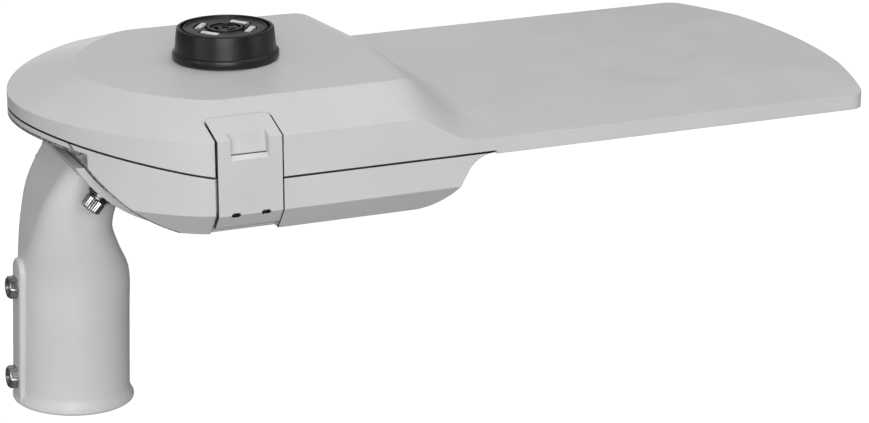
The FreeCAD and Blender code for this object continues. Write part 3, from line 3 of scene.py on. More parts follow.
import bmesh
import bpy
from mathutils import Matrix, Vector


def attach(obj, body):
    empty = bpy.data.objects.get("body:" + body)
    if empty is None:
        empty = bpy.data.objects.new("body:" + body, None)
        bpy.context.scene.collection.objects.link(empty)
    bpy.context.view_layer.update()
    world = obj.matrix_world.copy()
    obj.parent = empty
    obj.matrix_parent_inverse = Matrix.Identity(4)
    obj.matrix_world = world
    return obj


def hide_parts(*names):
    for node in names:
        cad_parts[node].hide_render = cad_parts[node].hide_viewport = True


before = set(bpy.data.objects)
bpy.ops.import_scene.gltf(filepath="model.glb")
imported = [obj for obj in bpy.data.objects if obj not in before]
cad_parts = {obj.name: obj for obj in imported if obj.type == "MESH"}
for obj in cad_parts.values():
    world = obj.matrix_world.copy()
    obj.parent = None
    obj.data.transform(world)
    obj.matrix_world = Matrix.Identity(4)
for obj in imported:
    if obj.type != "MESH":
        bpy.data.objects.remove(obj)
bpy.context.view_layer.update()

# The photograph was taken from the latch side, a little above the head, with a long lens.
# The camera stands where the rims of the pole socket and of the photocell socket put it.
camera_place = (-0.47990, -1.66151, 0.66018)
camera_right = Vector((0.91997, -0.39008, 0.03856))
camera_up = Vector((0.08088, 0.28516, 0.95507))
camera_back = camera_right.cross(camera_up)
film_width, focal_length = 36.0, 118.07
camera_turn = Matrix((camera_right, camera_up, camera_back)).transposed().to_4x4()
camera_data = bpy.data.cameras.new("photo_camera")
camera_data.sensor_width = film_width
camera_data.lens = focal_length
camera = bpy.data.objects.new("photo_camera", camera_data)
camera.matrix_world = Matrix.Translation(camera_place) @ camera_turn
bpy.context.scene.collection.objects.link(camera)
bpy.context.scene.camera = camera

# The studio is white paper all round, with a large softbox on each side.
# The camera sees the paper white, also through the clear lenses. The parts are lit by it, and mirror it,
# at a much weaker level, so that the pale coat keeps its shading.
paper_white = (1.0, 1.0, 1.0, 1.0)
paper_fill, paper_seen = 0.31, 1.0
view_settings = bpy.context.scene.view_settings
view_settings.view_transform = "Standard"
world = bpy.data.worlds.new("studio")
bpy.context.scene.world = world
world.use_nodes = True


def looked_at(nodes, links):
    ray = nodes.new("ShaderNodeLightPath")
    straight_or_through = nodes.new("ShaderNodeMath")
    straight_or_through.operation = "MAXIMUM"
    links.new(ray.outputs["Is Camera Ray"], straight_or_through.inputs[0])
    links.new(ray.outputs["Is Transmission Ray"], straight_or_through.inputs[1])
    return straight_or_through.outputs[0]


nodes, links = world.node_tree.nodes, world.node_tree.links
nodes.clear()
studio_paper = nodes.new("ShaderNodeMixShader")
links.new(looked_at(nodes, links), studio_paper.inputs[0])
for way_in, level in ((1, paper_fill), (2, paper_seen)):
    paper = nodes.new("ShaderNodeBackground")
    paper.inputs["Color"].default_value = paper_white
    paper.inputs["Strength"].default_value = level
    links.new(paper.outputs[0], studio_paper.inputs[way_in])
world_output = nodes.new("ShaderNodeOutputWorld")
links.new(studio_paper.outputs[0], world_output.inputs[0])


def softbox(name, place, target, width, power):
    lamp_data = bpy.data.lights.new(name, "AREA")
    lamp_data.shape = "RECTANGLE"
    lamp_data.size, lamp_data.size_y = width, width
    lamp_data.energy = power
    lamp = bpy.data.objects.new(name, lamp_data)
    lamp.location = place
    lamp.rotation_euler = (Vector(target) - Vector(place)).to_track_quat("-Z", "Y").to_euler()
    bpy.context.scene.collection.objects.link(lamp)


softbox("front_softbox", (-0.8, -2.5, 0.85), (0.15, 0.0, 0.16), 1.6, 60.0)
softbox("top_softbox", (0.5, 0.0, 2.5), (0.25, 0.0, 0.16), 2.2, 27.5)
softbox("back_softbox", (0.7, 2.7, -0.1), (0.2, 0.0, 0.16), 1.6, 12.0)
softbox("right_softbox", (2.3, -1.5, 0.1), (0.1, 0.0, 0.1), 1.2, 7.0)
softbox("left_softbox", (-2.4, -0.6, 0.4), (0.0, 0.0, 0.14), 1.2, 9.0)

# A pole-top head hangs in the air, so the pale floor lies well below it and only catches a soft shadow.
# It glows just enough to be seen white, and it is clear from below, so that the lenses can be looked at.
floor_half, floor_level = 12, -1.3
floor_grey, floor_glow = (0.2, 0.2, 0.2, 1.0), 0.97
floor_corners = [(x * floor_half, y * floor_half, floor_level)
                 for x, y in ((-1, -1), (1, -1), (1, 1), (-1, 1))]
floor_mesh = bpy.data.meshes.new("floor")
floor_mesh.from_pydata(floor_corners, [], [(0, 1, 2, 3)])
floor = bpy.data.objects.new("floor", floor_mesh)
bpy.context.scene.collection.objects.link(floor)
floor_paper = bpy.data.materials.new("floor_paper")
floor_paper.use_nodes = True
nodes, links = floor_paper.node_tree.nodes, floor_paper.node_tree.links
nodes.clear()
matt = nodes.new("ShaderNodeBsdfDiffuse")
matt.inputs["Color"].default_value = floor_grey
glow_level = nodes.new("ShaderNodeMath")
glow_level.operation = "MULTIPLY"
glow_level.inputs[1].default_value = floor_glow
links.new(looked_at(nodes, links), glow_level.inputs[0])
glow = nodes.new("ShaderNodeEmission")
glow.inputs["Color"].default_value = paper_white
links.new(glow_level.outputs[0], glow.inputs["Strength"])
from_above = nodes.new("ShaderNodeAddShader")
links.new(matt.outputs[0], from_above.inputs[0])
links.new(glow.outputs[0], from_above.inputs[1])
side_seen = nodes.new("ShaderNodeNewGeometry")
from_below = nodes.new("ShaderNodeBsdfTransparent")
one_sided = nodes.new("ShaderNodeMixShader")
links.new(side_seen.outputs["Backfacing"], one_sided.inputs[0])
links.new(from_above.outputs[0], one_sided.inputs[1])
links.new(from_below.outputs[0], one_sided.inputs[2])
floor_output = nodes.new("ShaderNodeOutputMaterial")
links.new(one_sided.outputs[0], floor_output.inputs[0])
floor_mesh.materials.append(floor_paper)

# The spigot is one die-cast aluminium piece: pole socket, leaning neck and the saddle wings under the head.
# Its neck goes over from a round tube to a squarish box on the way up, and the head's seat is bored last.
# It is powder coated light grey, a little uneven like fine orange peel, and duller where rain dries on it.
to_metres = Matrix.Scale(0.001, 4)


def surface(name, colour, dull, metal=0.0, cloud=26.0, mottle=0.022, grain=620.0,
            relief=0.000035, drawn=(1.0, 1.0, 1.0), edge=0.0):
    made = bpy.data.materials.new(name)
    made.use_nodes = True
    nodes, links = made.node_tree.nodes, made.node_tree.links
    shader = nodes["Principled BSDF"]
    shader.inputs["Metallic"].default_value = metal
    place = nodes.new("ShaderNodeTexCoord")
    stretch = nodes.new("ShaderNodeMapping")
    stretch.inputs["Scale"].default_value = drawn
    links.new(place.outputs["Object"], stretch.inputs["Vector"])
    clouds = nodes.new("ShaderNodeTexNoise")
    grains = nodes.new("ShaderNodeTexNoise")
    for noise, scale, detail in ((clouds, cloud, 4.0), (grains, grain, 3.0)):
        noise.inputs["Scale"].default_value = scale
        noise.inputs["Detail"].default_value = detail
        links.new(stretch.outputs["Vector"], noise.inputs["Vector"])
    tone = nodes.new("ShaderNodeMapRange")
    gloss = nodes.new("ShaderNodeMapRange")
    darkest, lightest = 1.0 - mottle, 1.0 + 0.7 * mottle
    shiniest, dullest = max(dull - 0.05, 0.02), dull + 0.08
    for curve, low, high in ((tone, darkest, lightest), (gloss, shiniest, dullest)):
        curve.inputs["From Min"].default_value = 0.3
        curve.inputs["From Max"].default_value = 0.7
        curve.inputs["To Min"].default_value = low
        curve.inputs["To Max"].default_value = high
        links.new(clouds.outputs["Fac"], curve.inputs["Value"])
    tinted = nodes.new("ShaderNodeVectorMath")
    tinted.name = "tinted"
    tinted.operation = "SCALE"
    tinted.inputs[0].default_value = colour
    links.new(tone.outputs[0], tinted.inputs["Scale"])
    links.new(tinted.outputs["Vector"], shader.inputs["Base Color"])
    links.new(gloss.outputs[0], shader.inputs["Roughness"])
    bumps = nodes.new("ShaderNodeBump")
    bumps.name = "bumps"
    bumps.inputs["Strength"].default_value = 0.5
    bumps.inputs["Distance"].default_value = relief
    links.new(grains.outputs["Fac"], bumps.inputs["Height"])
    links.new(bumps.outputs["Normal"], shader.inputs["Normal"])
    if edge:
        softened = nodes.new("ShaderNodeBevel")
        softened.samples = 6
        softened.inputs["Radius"].default_value = edge
        links.new(softened.outputs["Normal"], bumps.inputs["Normal"])
    return made


def circle(reach, height):
    def point(angle):
        far = reach(angle) if callable(reach) else reach
        up = height(angle) if callable(height) else height
        return far * math.cos(angle), far * math.sin(angle), up
    return point


def squarish(level, west, east, half, corner):
    across, middle = (east - west) / 2, (east + west) / 2

    def point(angle):
        inside, outside = 0.0, 90.0
        while outside - inside > 0.0005:
            reach = (inside + outside) / 2
            over_x = max(abs(reach * math.cos(angle)) - across + corner, 0.0)
            over_y = max(abs(reach * math.sin(angle)) - half + corner, 0.0)
            if math.hypot(over_x, over_y) < corner:
                inside = reach
            else:
                outside = reach
        return middle + inside * math.cos(angle), inside * math.sin(angle), level
    return point


def close_loops(shape, loops):
    shape.faces.new(loops[0])
    shape.faces.new(loops[-1])
    for below, above in zip(loops, loops[1:]):
        for step in range(len(below)):
            onward = (step + 1) % len(below)
            shape.faces.new((below[step], below[onward], above[onward], above[step]))


def skin(shape, rings, place, sides):
    loops = []
    for ring in rings:
        corners = [ring(2 * math.pi * step / sides) for step in range(sides)]
        loops.append([shape.verts.new(place @ Vector(corner)) for corner in corners])
    close_loops(shape, loops)


def bar(shape, outline, near, far, place):
    close_loops(shape, [[shape.verts.new(place @ Vector((x, depth, z))) for x, z in outline]
                        for depth in (near, far)])


def as_object(name, shape):
    bmesh.ops.recalc_face_normals(shape, faces=shape.faces)
    mesh = bpy.data.meshes.new(name)
    shape.to_mesh(mesh)
    shape.free()
    if "custom_normal" in mesh.attributes:
        mesh.attributes.remove(mesh.attributes["custom_normal"])
    made = bpy.data.objects.new(name, mesh)
    bpy.context.scene.collection.objects.link(made)
    return made


def finished(piece, material, body, slot, *stands_for, crease=32.0):
    piece.data.materials.clear()
    piece.data.materials.append(material)
    piece.data.shade_smooth()
    piece.data.set_sharp_from_angle(angle=math.radians(crease))
    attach(piece, body)
    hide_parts(*stands_for)


def machine(casting, tool, way):
    step = casting.modifiers.new(way.lower(), "BOOLEAN")
    step.operation = way
    step.solver = "EXACT"
    step.object = tool
    machined = casting.evaluated_get(bpy.context.evaluated_depsgraph_get())
    worked = bpy.data.meshes.new_from_object(machined)
    casting.modifiers.remove(step)
    casting.data = worked
    bpy.data.objects.remove(tool)


def on_curve(stations, level):
    number = 0
    while number < len(stations) - 2 and level > stations[number + 1][0]:
        number += 1
    before = stations[max(number - 1, 0)]
    low, high = stations[number], stations[number + 1]
    after = stations[min(number + 2, len(stations) - 1)]
    span = high[0] - low[0]
    share = (level - low[0]) / span
    near_low, near_high = 2 * share ** 3 - 3 * share ** 2 + 1, 3 * share ** 2 - 2 * share ** 3
    leaving, arriving = share ** 3 - 2 * share ** 2 + share, share ** 3 - share ** 2
    values = []
    for place in range(1, len(low)):
        leave = (high[place] - before[place]) / (high[0] - before[0]) * span
        arrive = (after[place] - low[place]) / (after[0] - low[0]) * span
        values.append(near_low * low[place] + leaving * leave
                      + near_high * high[place] + arriving * arrive)
    return values


seat_x, seat_z = 59.6, 225.7
seat_bore, seat_half = 90.4, 90.0
wing_inner, wing_reach = seat_bore - 2.0, 95.0
wing_end_x, wing_half, wing_steps = 35.0, 72.0, 48
hood_top = 173.5
round_sides = 144

# Each station gives its level, its west and east sides, half its width and its corner radius.
neck_stations = [
    (60, -35.4, 35.4, 35.4, 35.3), (86, -35.2, 34.6, 35.2, 34.8), (105, -32.6, 25.5, 35.6, 27),
    (120, -29.9, 20, 36, 22), (138, -25.3, 23, 36.5, 17), (152, -18.3, 30, 37, 13),
    (166, -9, 38, 37, 10), (184, 4, 50, 37, 10)]
passage_stations = [
    (79, -27, 27, 27, 26.9), (92, -27, 24, 29, 24), (105, -26.6, 20, 30.6, 20),
    (120, -24.4, 15, 31, 16), (138, -20, 18, 31.5, 12), (152, -13.3, 25, 32, 8),
    (166, -4, 33, 32, 5), (184, 9, 45, 32, 5)]

# The mouth's rim is a rolled bead, which falls back to the tube in a hollow curve.
bead = [(36.7, 0.0), (37.6, 0.22), (38.3, 0.7), (38.65, 1.35), (38.7, 2.0), (38.6, 2.7),
        (38.3, 3.2), (37.95, 3.4), (37.85, 3.7)]
hollow = [(37.9 - 2.0 * share - 1.4 * share * (1 - share), 3.9 + 5.6 * share)
          for share in (step / 8 for step in range(1, 9))]
tube = [(35.75, 24.0), (35.6, 40.0), (35.4, 59.0)]
neck_rings = [circle(reach, level) for reach, level in bead + hollow + tube]
neck_rings += [squarish(level, *on_curve(neck_stations, level)) for level in range(61, 173, 2)]
neck_rings.append(squarish(hood_top, *on_curve(neck_stations, hood_top)))
shape = bmesh.new()
skin(shape, neck_rings, to_metres, round_sides)
spigot = as_object("spigot_casting", shape)


def seat_arc(radius, start_x, end_x):
    start = math.acos((start_x - seat_x) / radius)
    end = math.acos((end_x - seat_x) / radius)
    angles = [start + (end - start) * step / wing_steps for step in range(wing_steps + 1)]
    return [(seat_x + radius * math.cos(angle), seat_z - radius * math.sin(angle)) for angle in angles]


def seat_west(radius):
    return seat_x - math.sqrt(radius ** 2 - (seat_z - hood_top) ** 2)


shape = bmesh.new()
wing_outline = (seat_arc(wing_reach, seat_west(wing_reach), wing_end_x)
                + seat_arc(wing_inner, wing_end_x, seat_west(wing_inner)))
bar(shape, wing_outline, -wing_half, wing_half, to_metres)
machine(spigot, as_object("wings", shape), "UNION")

rib_half, rib_foot, rib_top = 9.5, 2.0, 96.0
rib_end_z = rib_top - rib_half
rib_layers = ((-31.5, 0.0), (-36.2, 0.0), (-37.0, 0.5), (-37.4, 1.1), (-37.6, 2.2))
sideways = Matrix(((0, 1, 0, 0), (1, 0, 0, 0), (0, 0, 1, 0), (0, 0, 0, 1)))
on_side = to_metres @ sideways


def rib_outline(inset):
    radius, foot = rib_half - inset, rib_foot + inset
    turns = [math.pi * step / 24 for step in range(25)]
    rounded = [(radius * math.cos(turn), rib_end_z + radius * math.sin(turn)) for turn in turns]
    return rounded + [(-radius, foot), (radius, foot)]


shape = bmesh.new()
close_loops(shape, [[shape.verts.new(on_side @ Vector((across, depth, level)))
                     for across, level in rib_outline(inset)] for depth, inset in rib_layers])
machine(spigot, as_object("rib", shape), "UNION")

pole_bore, bore_depth = 31.0, 80.0
shape = bmesh.new()
skin(shape, [circle(pole_bore, -1.0), circle(pole_bore, bore_depth)], to_metres, round_sides)
machine(spigot, as_object("pole_bore", shape), "DIFFERENCE")
shape = bmesh.new()
passage_rings = [squarish(level, *on_curve(passage_stations, level)) for level in range(79, 185, 3)]
skin(shape, passage_rings, to_metres, 96)
machine(spigot, as_object("cable_way", shape), "DIFFERENCE")
shape = bmesh.new()
drum_turn = to_metres @ Matrix.Translation((seat_x, 0, seat_z)) @ Matrix.Rotation(math.pi / 2, 4, "X")
skin(shape, [circle(seat_bore, -seat_half), circle(seat_bore, seat_half)], drum_turn, 360)
machine(spigot, as_object("seat_bore", shape), "DIFFERENCE")

slot_half, slot_near, slot_far = 4.6, 70, 115
slot_start, slot_end = math.radians(39.47), math.radians(60.33)
bolt_y = 53.0
slot_corners = ((slot_near, slot_start), (slot_far, slot_start), (slot_far, slot_end), (slot_near, slot_end))
slot_outline = [(seat_x - reach * math.cos(angle), seat_z - reach * math.sin(angle))
                for reach, angle in slot_corners]
for side in (-1, 1):
    shape = bmesh.new()
    bar(shape, slot_outline, side * bolt_y - slot_half, side * bolt_y + slot_half, to_metres)
    machine(spigot, as_object("slot", shape), "DIFFERENCE")

clamp_levels = (17.0, 77.0)
clamp_hole = 4.0


def westward(level):
    return to_metres @ Matrix.Translation((0, 0, level)) @ Matrix.Rotation(-math.pi / 2, 4, "Y")


for level in clamp_levels:
    shape = bmesh.new()
    skin(shape, [circle(clamp_hole, 26.0), circle(clamp_hole, 60.0)], westward(level), 48)
    machine(spigot, as_object("screw_hole", shape), "DIFFERENCE")
coat_grey = (0.56, 0.56, 0.56)
finished(spigot, surface("spigot_coat", coat_grey, 0.46, edge=0.0011), "pole_spigot", "grey_paint", "spigot")

# Two stainless hexagon screws through the rib clamp the pole.
# Their heads are turned to a chamfer, dished in the middle, and darkened by the weather.
thread_crest, thread_root, thread_pitch = 3.98, 3.5, 1.25
head_flats = 13


def hexagon(across):
    def reach(angle):
        return across / 2 / math.cos((angle + math.pi / 6) % (math.pi / 3) - math.pi / 6)
    return reach


def hexagon_in_circle(across, limit):
    flats = hexagon(across)

    def reach(angle):
        return min(flats(angle), limit)
    return reach


screw_rings = [circle(3.0, 31.2)]
for thread in range(5):
    screw_rings += [circle(thread_root, 31.4 + thread_pitch * thread),
                    circle(thread_crest, 32.0 + thread_pitch * thread)]
screw_rings += [
    circle(thread_crest, 37.65), circle(hexagon_in_circle(head_flats, 6.7), 37.65),
    circle(hexagon(head_flats), 38.1), circle(hexagon(head_flats), 42.1),
    circle(hexagon_in_circle(head_flats, 6.9), 42.55), circle(hexagon_in_circle(head_flats, 6.3), 43.1),
    circle(4.0, 43.1), circle(3.4, 42.6), circle(3.1, 41.9), circle(0.4, 41.6)]
shape = bmesh.new()
for level in clamp_levels:
    skin(shape, screw_rings, westward(level), 96)
steel_grey = (0.36, 0.355, 0.35)
weathered_steel = surface("weathered_steel", steel_grey, 0.27, metal=1.0, cloud=180.0, mottle=0.35,
                          grain=2600.0, relief=0.00003)
finished(as_object("clamp_screw_pair", shape), weathered_steel, "pole_spigot", "stainless", "clamp_screws")

# Two knurled cap screws, each with a split spring washer and a flat washer, hold the head in its saddle.
# They are stainless steel, sit in the slots of the wings and turn with the head.
nose_up = math.radians(2.4)
head_turn = Matrix.Rotation(-nose_up, 4, "Y")
in_head = to_metres @ head_turn
seat_in_head_x, seat_in_head_z = 69.0, 223.0
bolt_lean = Matrix.Rotation(math.radians(-140.0), 4, "Y")
bolt_places = [in_head @ Matrix.Translation((seat_in_head_x, side * bolt_y, seat_in_head_z)) @ bolt_lean
               for side in (-1, 1)]
bolt_root = 3.6


def knurl(reach, depth, teeth):
    def radius(angle):
        return reach - depth * (0.5 + 0.5 * math.cos(teeth * angle))
    return radius


bolt_rings = [circle(3.2, 86.2), circle(3.9, 87.0)]
for thread in range(8):
    bolt_rings += [circle(bolt_root, 87.5 + thread_pitch * thread),
                   circle(thread_crest, 88.1 + thread_pitch * thread)]
bolt_rings += [
    circle(thread_crest, 98.9), circle(5.6, 98.9), circle(6.2, 99.2),
    circle(knurl(6.5, 0.45, 30), 99.6), circle(knurl(6.5, 0.45, 30), 105.9),
    circle(6.15, 106.3), circle(5.5, 106.9), circle(hexagon(7.2), 106.9),
    circle(hexagon(6.7), 106.5), circle(hexagon(6.7), 102.6), circle(0.4, 102.0)]
shape = bmesh.new()
for place in bolt_places:
    skin(shape, bolt_rings, place, 180)
bright_steel = surface("bright_steel", steel_grey, 0.2, metal=1.0, cloud=220.0, mottle=0.22,
                       grain=3000.0, relief=0.00002)
finished(as_object("tilt_bolt_pair", shape), bright_steel, "gear_tray", "stainless", "tilt_bolts")

washer_foot, washer_lift, washer_split, washer_steps = 97.0, 0.35, 9, 120
shape = bmesh.new()
for place in bolt_places:
    loops = []
    for step in range(washer_steps + 1):
        angle = math.radians(washer_split + (360 - 2 * washer_split) * step / washer_steps)
        lift = washer_foot + washer_lift * step / washer_steps
        section = ((4.3, lift), (6.3, lift), (6.55, lift + 0.25),
                   (6.55, lift + 1.3), (6.3, lift + 1.5), (4.3, lift + 1.5))
        loops.append([shape.verts.new(place @ Vector((far * math.cos(angle), far * math.sin(angle), up)))
                      for far, up in section])
    close_loops(shape, loops)
spring_steel = surface("spring_steel", (0.12, 0.12, 0.12), 0.28, metal=1.0, cloud=260.0, mottle=0.3,
                       grain=3200.0, relief=0.00002)
finished(as_object("split_washer_pair", shape), spring_steel, "gear_tray", "stainless", "tilt_spring_washers")


def dress(node, material):
    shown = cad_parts[node]
    shown.data.materials.clear()
    shown.data.materials.append(material)


dress("tilt_washers", spring_steel)

# The tray is the lower casting, in the same grey coat. It carries the gear, the cover's hinges and the latch.
# Round the seat and at the rear end it is toothed, so that the saddle grips it, and its coat is darkened
# there in patches as painted shade, for the shadow under the cover's rim.
# The joint with the cover is painted black along its walls, partly as dust and partly as painted shade in the
# gap, and the gaps round the latch are painted black as painted shade.
seam_level, seam_bend, seam_rise = 0.173, 0.077, math.tan(math.radians(9.5))
# The last is how dark the joint's painted shade and dust are.
joint_half, joint_end, joint_shade_and_dust = 0.00066, 0.2362, 0.95
nose_cos, nose_sin = math.cos(nose_up), math.sin(nose_up)


def reckoner(made):
    nodes, links = made.node_tree.nodes, made.node_tree.links

    def reckon(operation, *terms):
        node = nodes.new("ShaderNodeMath")
        node.operation = operation
        for number, term in enumerate(terms):
            if isinstance(term, (int, float)):
                node.inputs[number].default_value = term
            else:
                links.new(term, node.inputs[number])
        return node.outputs[0]
    return reckon


def places_on(made):
    nodes, links = made.node_tree.nodes, made.node_tree.links
    reckon = reckoner(made)
    where = nodes.new("ShaderNodeTexCoord")
    axes = nodes.new("ShaderNodeSeparateXYZ")
    links.new(where.outputs["Object"], axes.inputs[0])
    x, z = axes.outputs["X"], axes.outputs["Z"]
    level_x = reckon("ADD", reckon("MULTIPLY", x, nose_cos), reckon("MULTIPLY", z, nose_sin))
    level_z = reckon("SUBTRACT", reckon("MULTIPLY", z, nose_cos), reckon("MULTIPLY", x, nose_sin))
    return axes.outputs, level_x, level_z


def seam_height(reckon, level_x):
    behind_bend = reckon("MAXIMUM", reckon("SUBTRACT", seam_bend, level_x), 0.0)
    return reckon("MULTIPLY_ADD", behind_bend, seam_rise, seam_level)


def darkened(made, share):
    nodes, links = made.node_tree.nodes, made.node_tree.links
    base_colour = nodes["Principled BSDF"].inputs["Base Color"]
    shade = nodes.new("ShaderNodeVectorMath")
    shade.operation = "SCALE"
    links.new(base_colour.links[0].from_socket, shade.inputs[0])
    links.new(reckoner(made)("SUBTRACT", 1.0, share), shade.inputs["Scale"])
    links.new(shade.outputs["Vector"], base_colour)


# The walls of the joint are painted black: painted shade in the gap, with the dust that it gathers.
def darken_joint_shade_and_dust(made):
    reckon = reckoner(made)
    level_x, level_z = places_on(made)[1:]
    in_joint = reckon("COMPARE", level_z, seam_height(reckon, level_x), joint_half)
    behind_panel = reckon("LESS_THAN", level_x, joint_end)
    darkened(made, reckon("MULTIPLY", reckon("MULTIPLY", in_joint, behind_panel), joint_shade_and_dust))


tray_coat = surface("tray_coat", coat_grey, 0.46, edge=0.0008)
reckon = reckoner(tray_coat)
axes, level_x, level_z = places_on(tray_coat)
drum_radius, drum_margin, drum_end_x = 0.0898, 0.0006, 0.036
rear_x, below_seam = -0.006, 0.0035
teeth_round_seat, teeth_share = 190.0, 0.35
# Strength of the patchy painted shade on the drum and the rear end.
painted_shade_dark, painted_shade_least = 1.1, 0.1
from_seat_x = reckon("SUBTRACT", axes["X"], seat_x / 1000)
from_seat_z = reckon("SUBTRACT", axes["Z"], seat_z / 1000)
seat_reach = reckon("SQRT", reckon("ADD", reckon("POWER", from_seat_x, 2.0),
                                   reckon("POWER", from_seat_z, 2.0)))
on_drum = reckon("MULTIPLY", reckon("COMPARE", seat_reach, drum_radius, drum_margin),
                 reckon("LESS_THAN", axes["X"], drum_end_x))
rear_top = reckon("SUBTRACT", seam_height(reckon, level_x), below_seam)
at_rear = reckon("MULTIPLY", reckon("LESS_THAN", level_x, rear_x), reckon("LESS_THAN", level_z, rear_top))
toothed_and_shaded = reckon("MAXIMUM", on_drum, at_rear)
turn_round_seat = reckon("ARCTAN2", from_seat_z, from_seat_x)
teeth = reckon("SINE", reckon("MULTIPLY", turn_round_seat, teeth_round_seat))
nodes, links = tray_coat.node_tree.nodes, tray_coat.node_tree.links
cast_place = nodes.new("ShaderNodeTexCoord")
crumbs = nodes.new("ShaderNodeTexNoise")
crumbs.inputs["Scale"].default_value = 420.0
crumbs.inputs["Detail"].default_value = 5.0
links.new(cast_place.outputs["Object"], crumbs.inputs["Vector"])
cast_bump = nodes.new("ShaderNodeBump")
cast_bump.inputs["Strength"].default_value = 0.9
cast_bump.inputs["Distance"].default_value = 0.0008
toothed = reckon("MULTIPLY_ADD", teeth, teeth_share, crumbs.outputs["Fac"])
links.new(reckon("MULTIPLY", toothed_and_shaded, toothed), cast_bump.inputs["Height"])
links.new(nodes["bumps"].outputs["Normal"], cast_bump.inputs["Normal"])
links.new(cast_bump.outputs["Normal"], nodes["Principled BSDF"].inputs["Normal"])
# Painted shade: the drum and the rear end are darkened in patches, for the shadow under the cover's rim.
patchy_painted_shade = reckon("MULTIPLY_ADD", crumbs.outputs["Fac"], painted_shade_dark, painted_shade_least)
darkened(tray_coat, reckon("MULTIPLY", toothed_and_shaded, patchy_painted_shade))
darken_joint_shade_and_dust(tray_coat)

# How black the painted shade in the latch's gaps and slots is, and where the niche and the slots lie.
niche_middle, niche_half, niche_line, painted_gap_shade = 0.077, 0.021, 0.00006, 0.93
plate_slot_x, plate_slot_z, slot_patch = 0.0095, 0.153, 0.0042
side_face_y, side_face_slope = -0.1318, 0.8
shoulder_z, shoulder_slope = 0.2400, 0.3214
near_side_y = -0.1084


def from_niche(reckon, level_x):
    return reckon("ABSOLUTE", reckon("SUBTRACT", level_x, niche_middle))


# Painted shade: the niche walls seen through the gaps round the latch, and patches behind the latch's slots,
# are painted black where the gaps and holes are dark.
def darken_niche_shade(made):
    reckon = reckoner(made)
    axes, level_x, level_z = places_on(made)
    aside = from_niche(reckon, level_x)
    in_gap = reckon("COMPARE", aside, niche_half, niche_line)
    behind_slot = reckon("MULTIPLY", reckon("COMPARE", aside, plate_slot_x, slot_patch),
                         reckon("COMPARE", level_z, plate_slot_z, slot_patch))
    below_slot = reckon("MAXIMUM", reckon("SUBTRACT", plate_slot_z, level_z), 0.0)
    face_y = reckon("MULTIPLY_ADD", below_slot, side_face_slope, side_face_y)
    top_z = reckon("MULTIPLY_ADD", axes["Y"], shoulder_slope, shoulder_z)
    at_face = reckon("LESS_THAN", axes["Y"], face_y)
    at_top = reckon("GREATER_THAN", level_z, top_z)
    near_skin = reckon("MULTIPLY", in_gap, reckon("MAXIMUM", at_face, at_top))
    on_near_side = reckon("MULTIPLY", reckon("LESS_THAN", axes["Y"], near_side_y), painted_gap_shade)
    darkened(made, reckon("MULTIPLY", reckon("MAXIMUM", near_skin, behind_slot), on_near_side))


darken_niche_shade(tray_coat)
dress("tray", tray_coat)

# The cover is the upper casting and the front panel in one, and opens upwards on two pins on the far side.
# It is cast and powder coated like the tray, and shuts on it with the same joint and latch niche, painted
# black with the same painted shade.
cover_coat = surface("cover_coat", coat_grey, 0.45, edge=0.0008)
darken_joint_shade_and_dust(cover_coat)
darken_niche_shade(cover_coat)
dress("cover", cover_coat)

# The latch is a lever on a pin at its foot, a casting of its own in the same coat.
# It has a finger pocket with a rolled lip, a groove behind the lip, and two short slots near the foot. The
# groove, the slots and the side edges are painted black as painted shade.
latch_coat = surface("latch_coat", coat_grey, 0.42, edge=0.0006)
reckon = reckoner(latch_coat)
axes, level_x, level_z = places_on(latch_coat)
plate_half, slot_straight, slot_radius = 0.02021, 0.0015, 0.00146
groove_y, groove_deep, groove_z, groove_high = -0.1292, 0.0015, 0.1883, 0.0009
# Painted shade: the side edges, the two slots and the groove behind the lip are darkened like gaps and
# hollows in shade.
aside = from_niche(reckon, level_x)
plate_edge = reckon("GREATER_THAN", aside, plate_half)
off_slot = reckon("ABSOLUTE", reckon("SUBTRACT", aside, plate_slot_x))
past_middle = reckon("MAXIMUM", reckon("SUBTRACT", off_slot, slot_straight), 0.0)
over_middle = reckon("SUBTRACT", level_z, plate_slot_z)
slot_reach = reckon("SQRT", reckon("ADD", reckon("MULTIPLY", past_middle, past_middle),
                                   reckon("MULTIPLY", over_middle, over_middle)))
in_slot = reckon("LESS_THAN", slot_reach, slot_radius)
in_groove = reckon("MULTIPLY", reckon("COMPARE", axes["Y"], groove_y, groove_deep),
                   reckon("COMPARE", level_z, groove_z, groove_high))
painted_latch_shade = reckon("MAXIMUM", reckon("MAXIMUM", plate_edge, in_slot), in_groove)
darkened(latch_coat, reckon("MULTIPLY", painted_latch_shade, painted_gap_shade))

old_pocket = [(-133.9, 186.6), (-130.3, 186.6), (-117.6, 201.7), (-117.6, 204.75), (-133.9, 199.51)]
finger_pocket = [
    (-150.0, 187.0), (-134.0, 187.0), (-133.0, 187.9), (-131.8, 189.2), (-131.1, 189.5),
    (-130.7, 189.2), (-130.5, 188.2), (-128.3, 188.2), (-127.8, 189.5), (-126.4, 196.0),
    (-125.6, 201.5), (-125.0, 215.0), (-150.0, 215.0)]
pocket_west, pocket_east, pocket_lap = 65.0, 89.0, 0.1
across_head = in_head @ sideways
shape = bmesh.new()
shape.from_mesh(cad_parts["latch"].data)
bmesh.ops.remove_doubles(shape, verts=shape.verts, dist=0.000002)
latch = as_object("latch_lever", shape)
shape = bmesh.new()
bar(shape, old_pocket, pocket_west - pocket_lap, pocket_east + pocket_lap, across_head)
machine(latch, as_object("pocket_filling", shape), "UNION")
shape = bmesh.new()
bar(shape, finger_pocket, pocket_west, pocket_east, across_head)
machine(latch, as_object("finger_pocket", shape), "DIFFERENCE")
finished(latch, latch_coat, "side_latch", "grey_paint", "latch", crease=20.0)

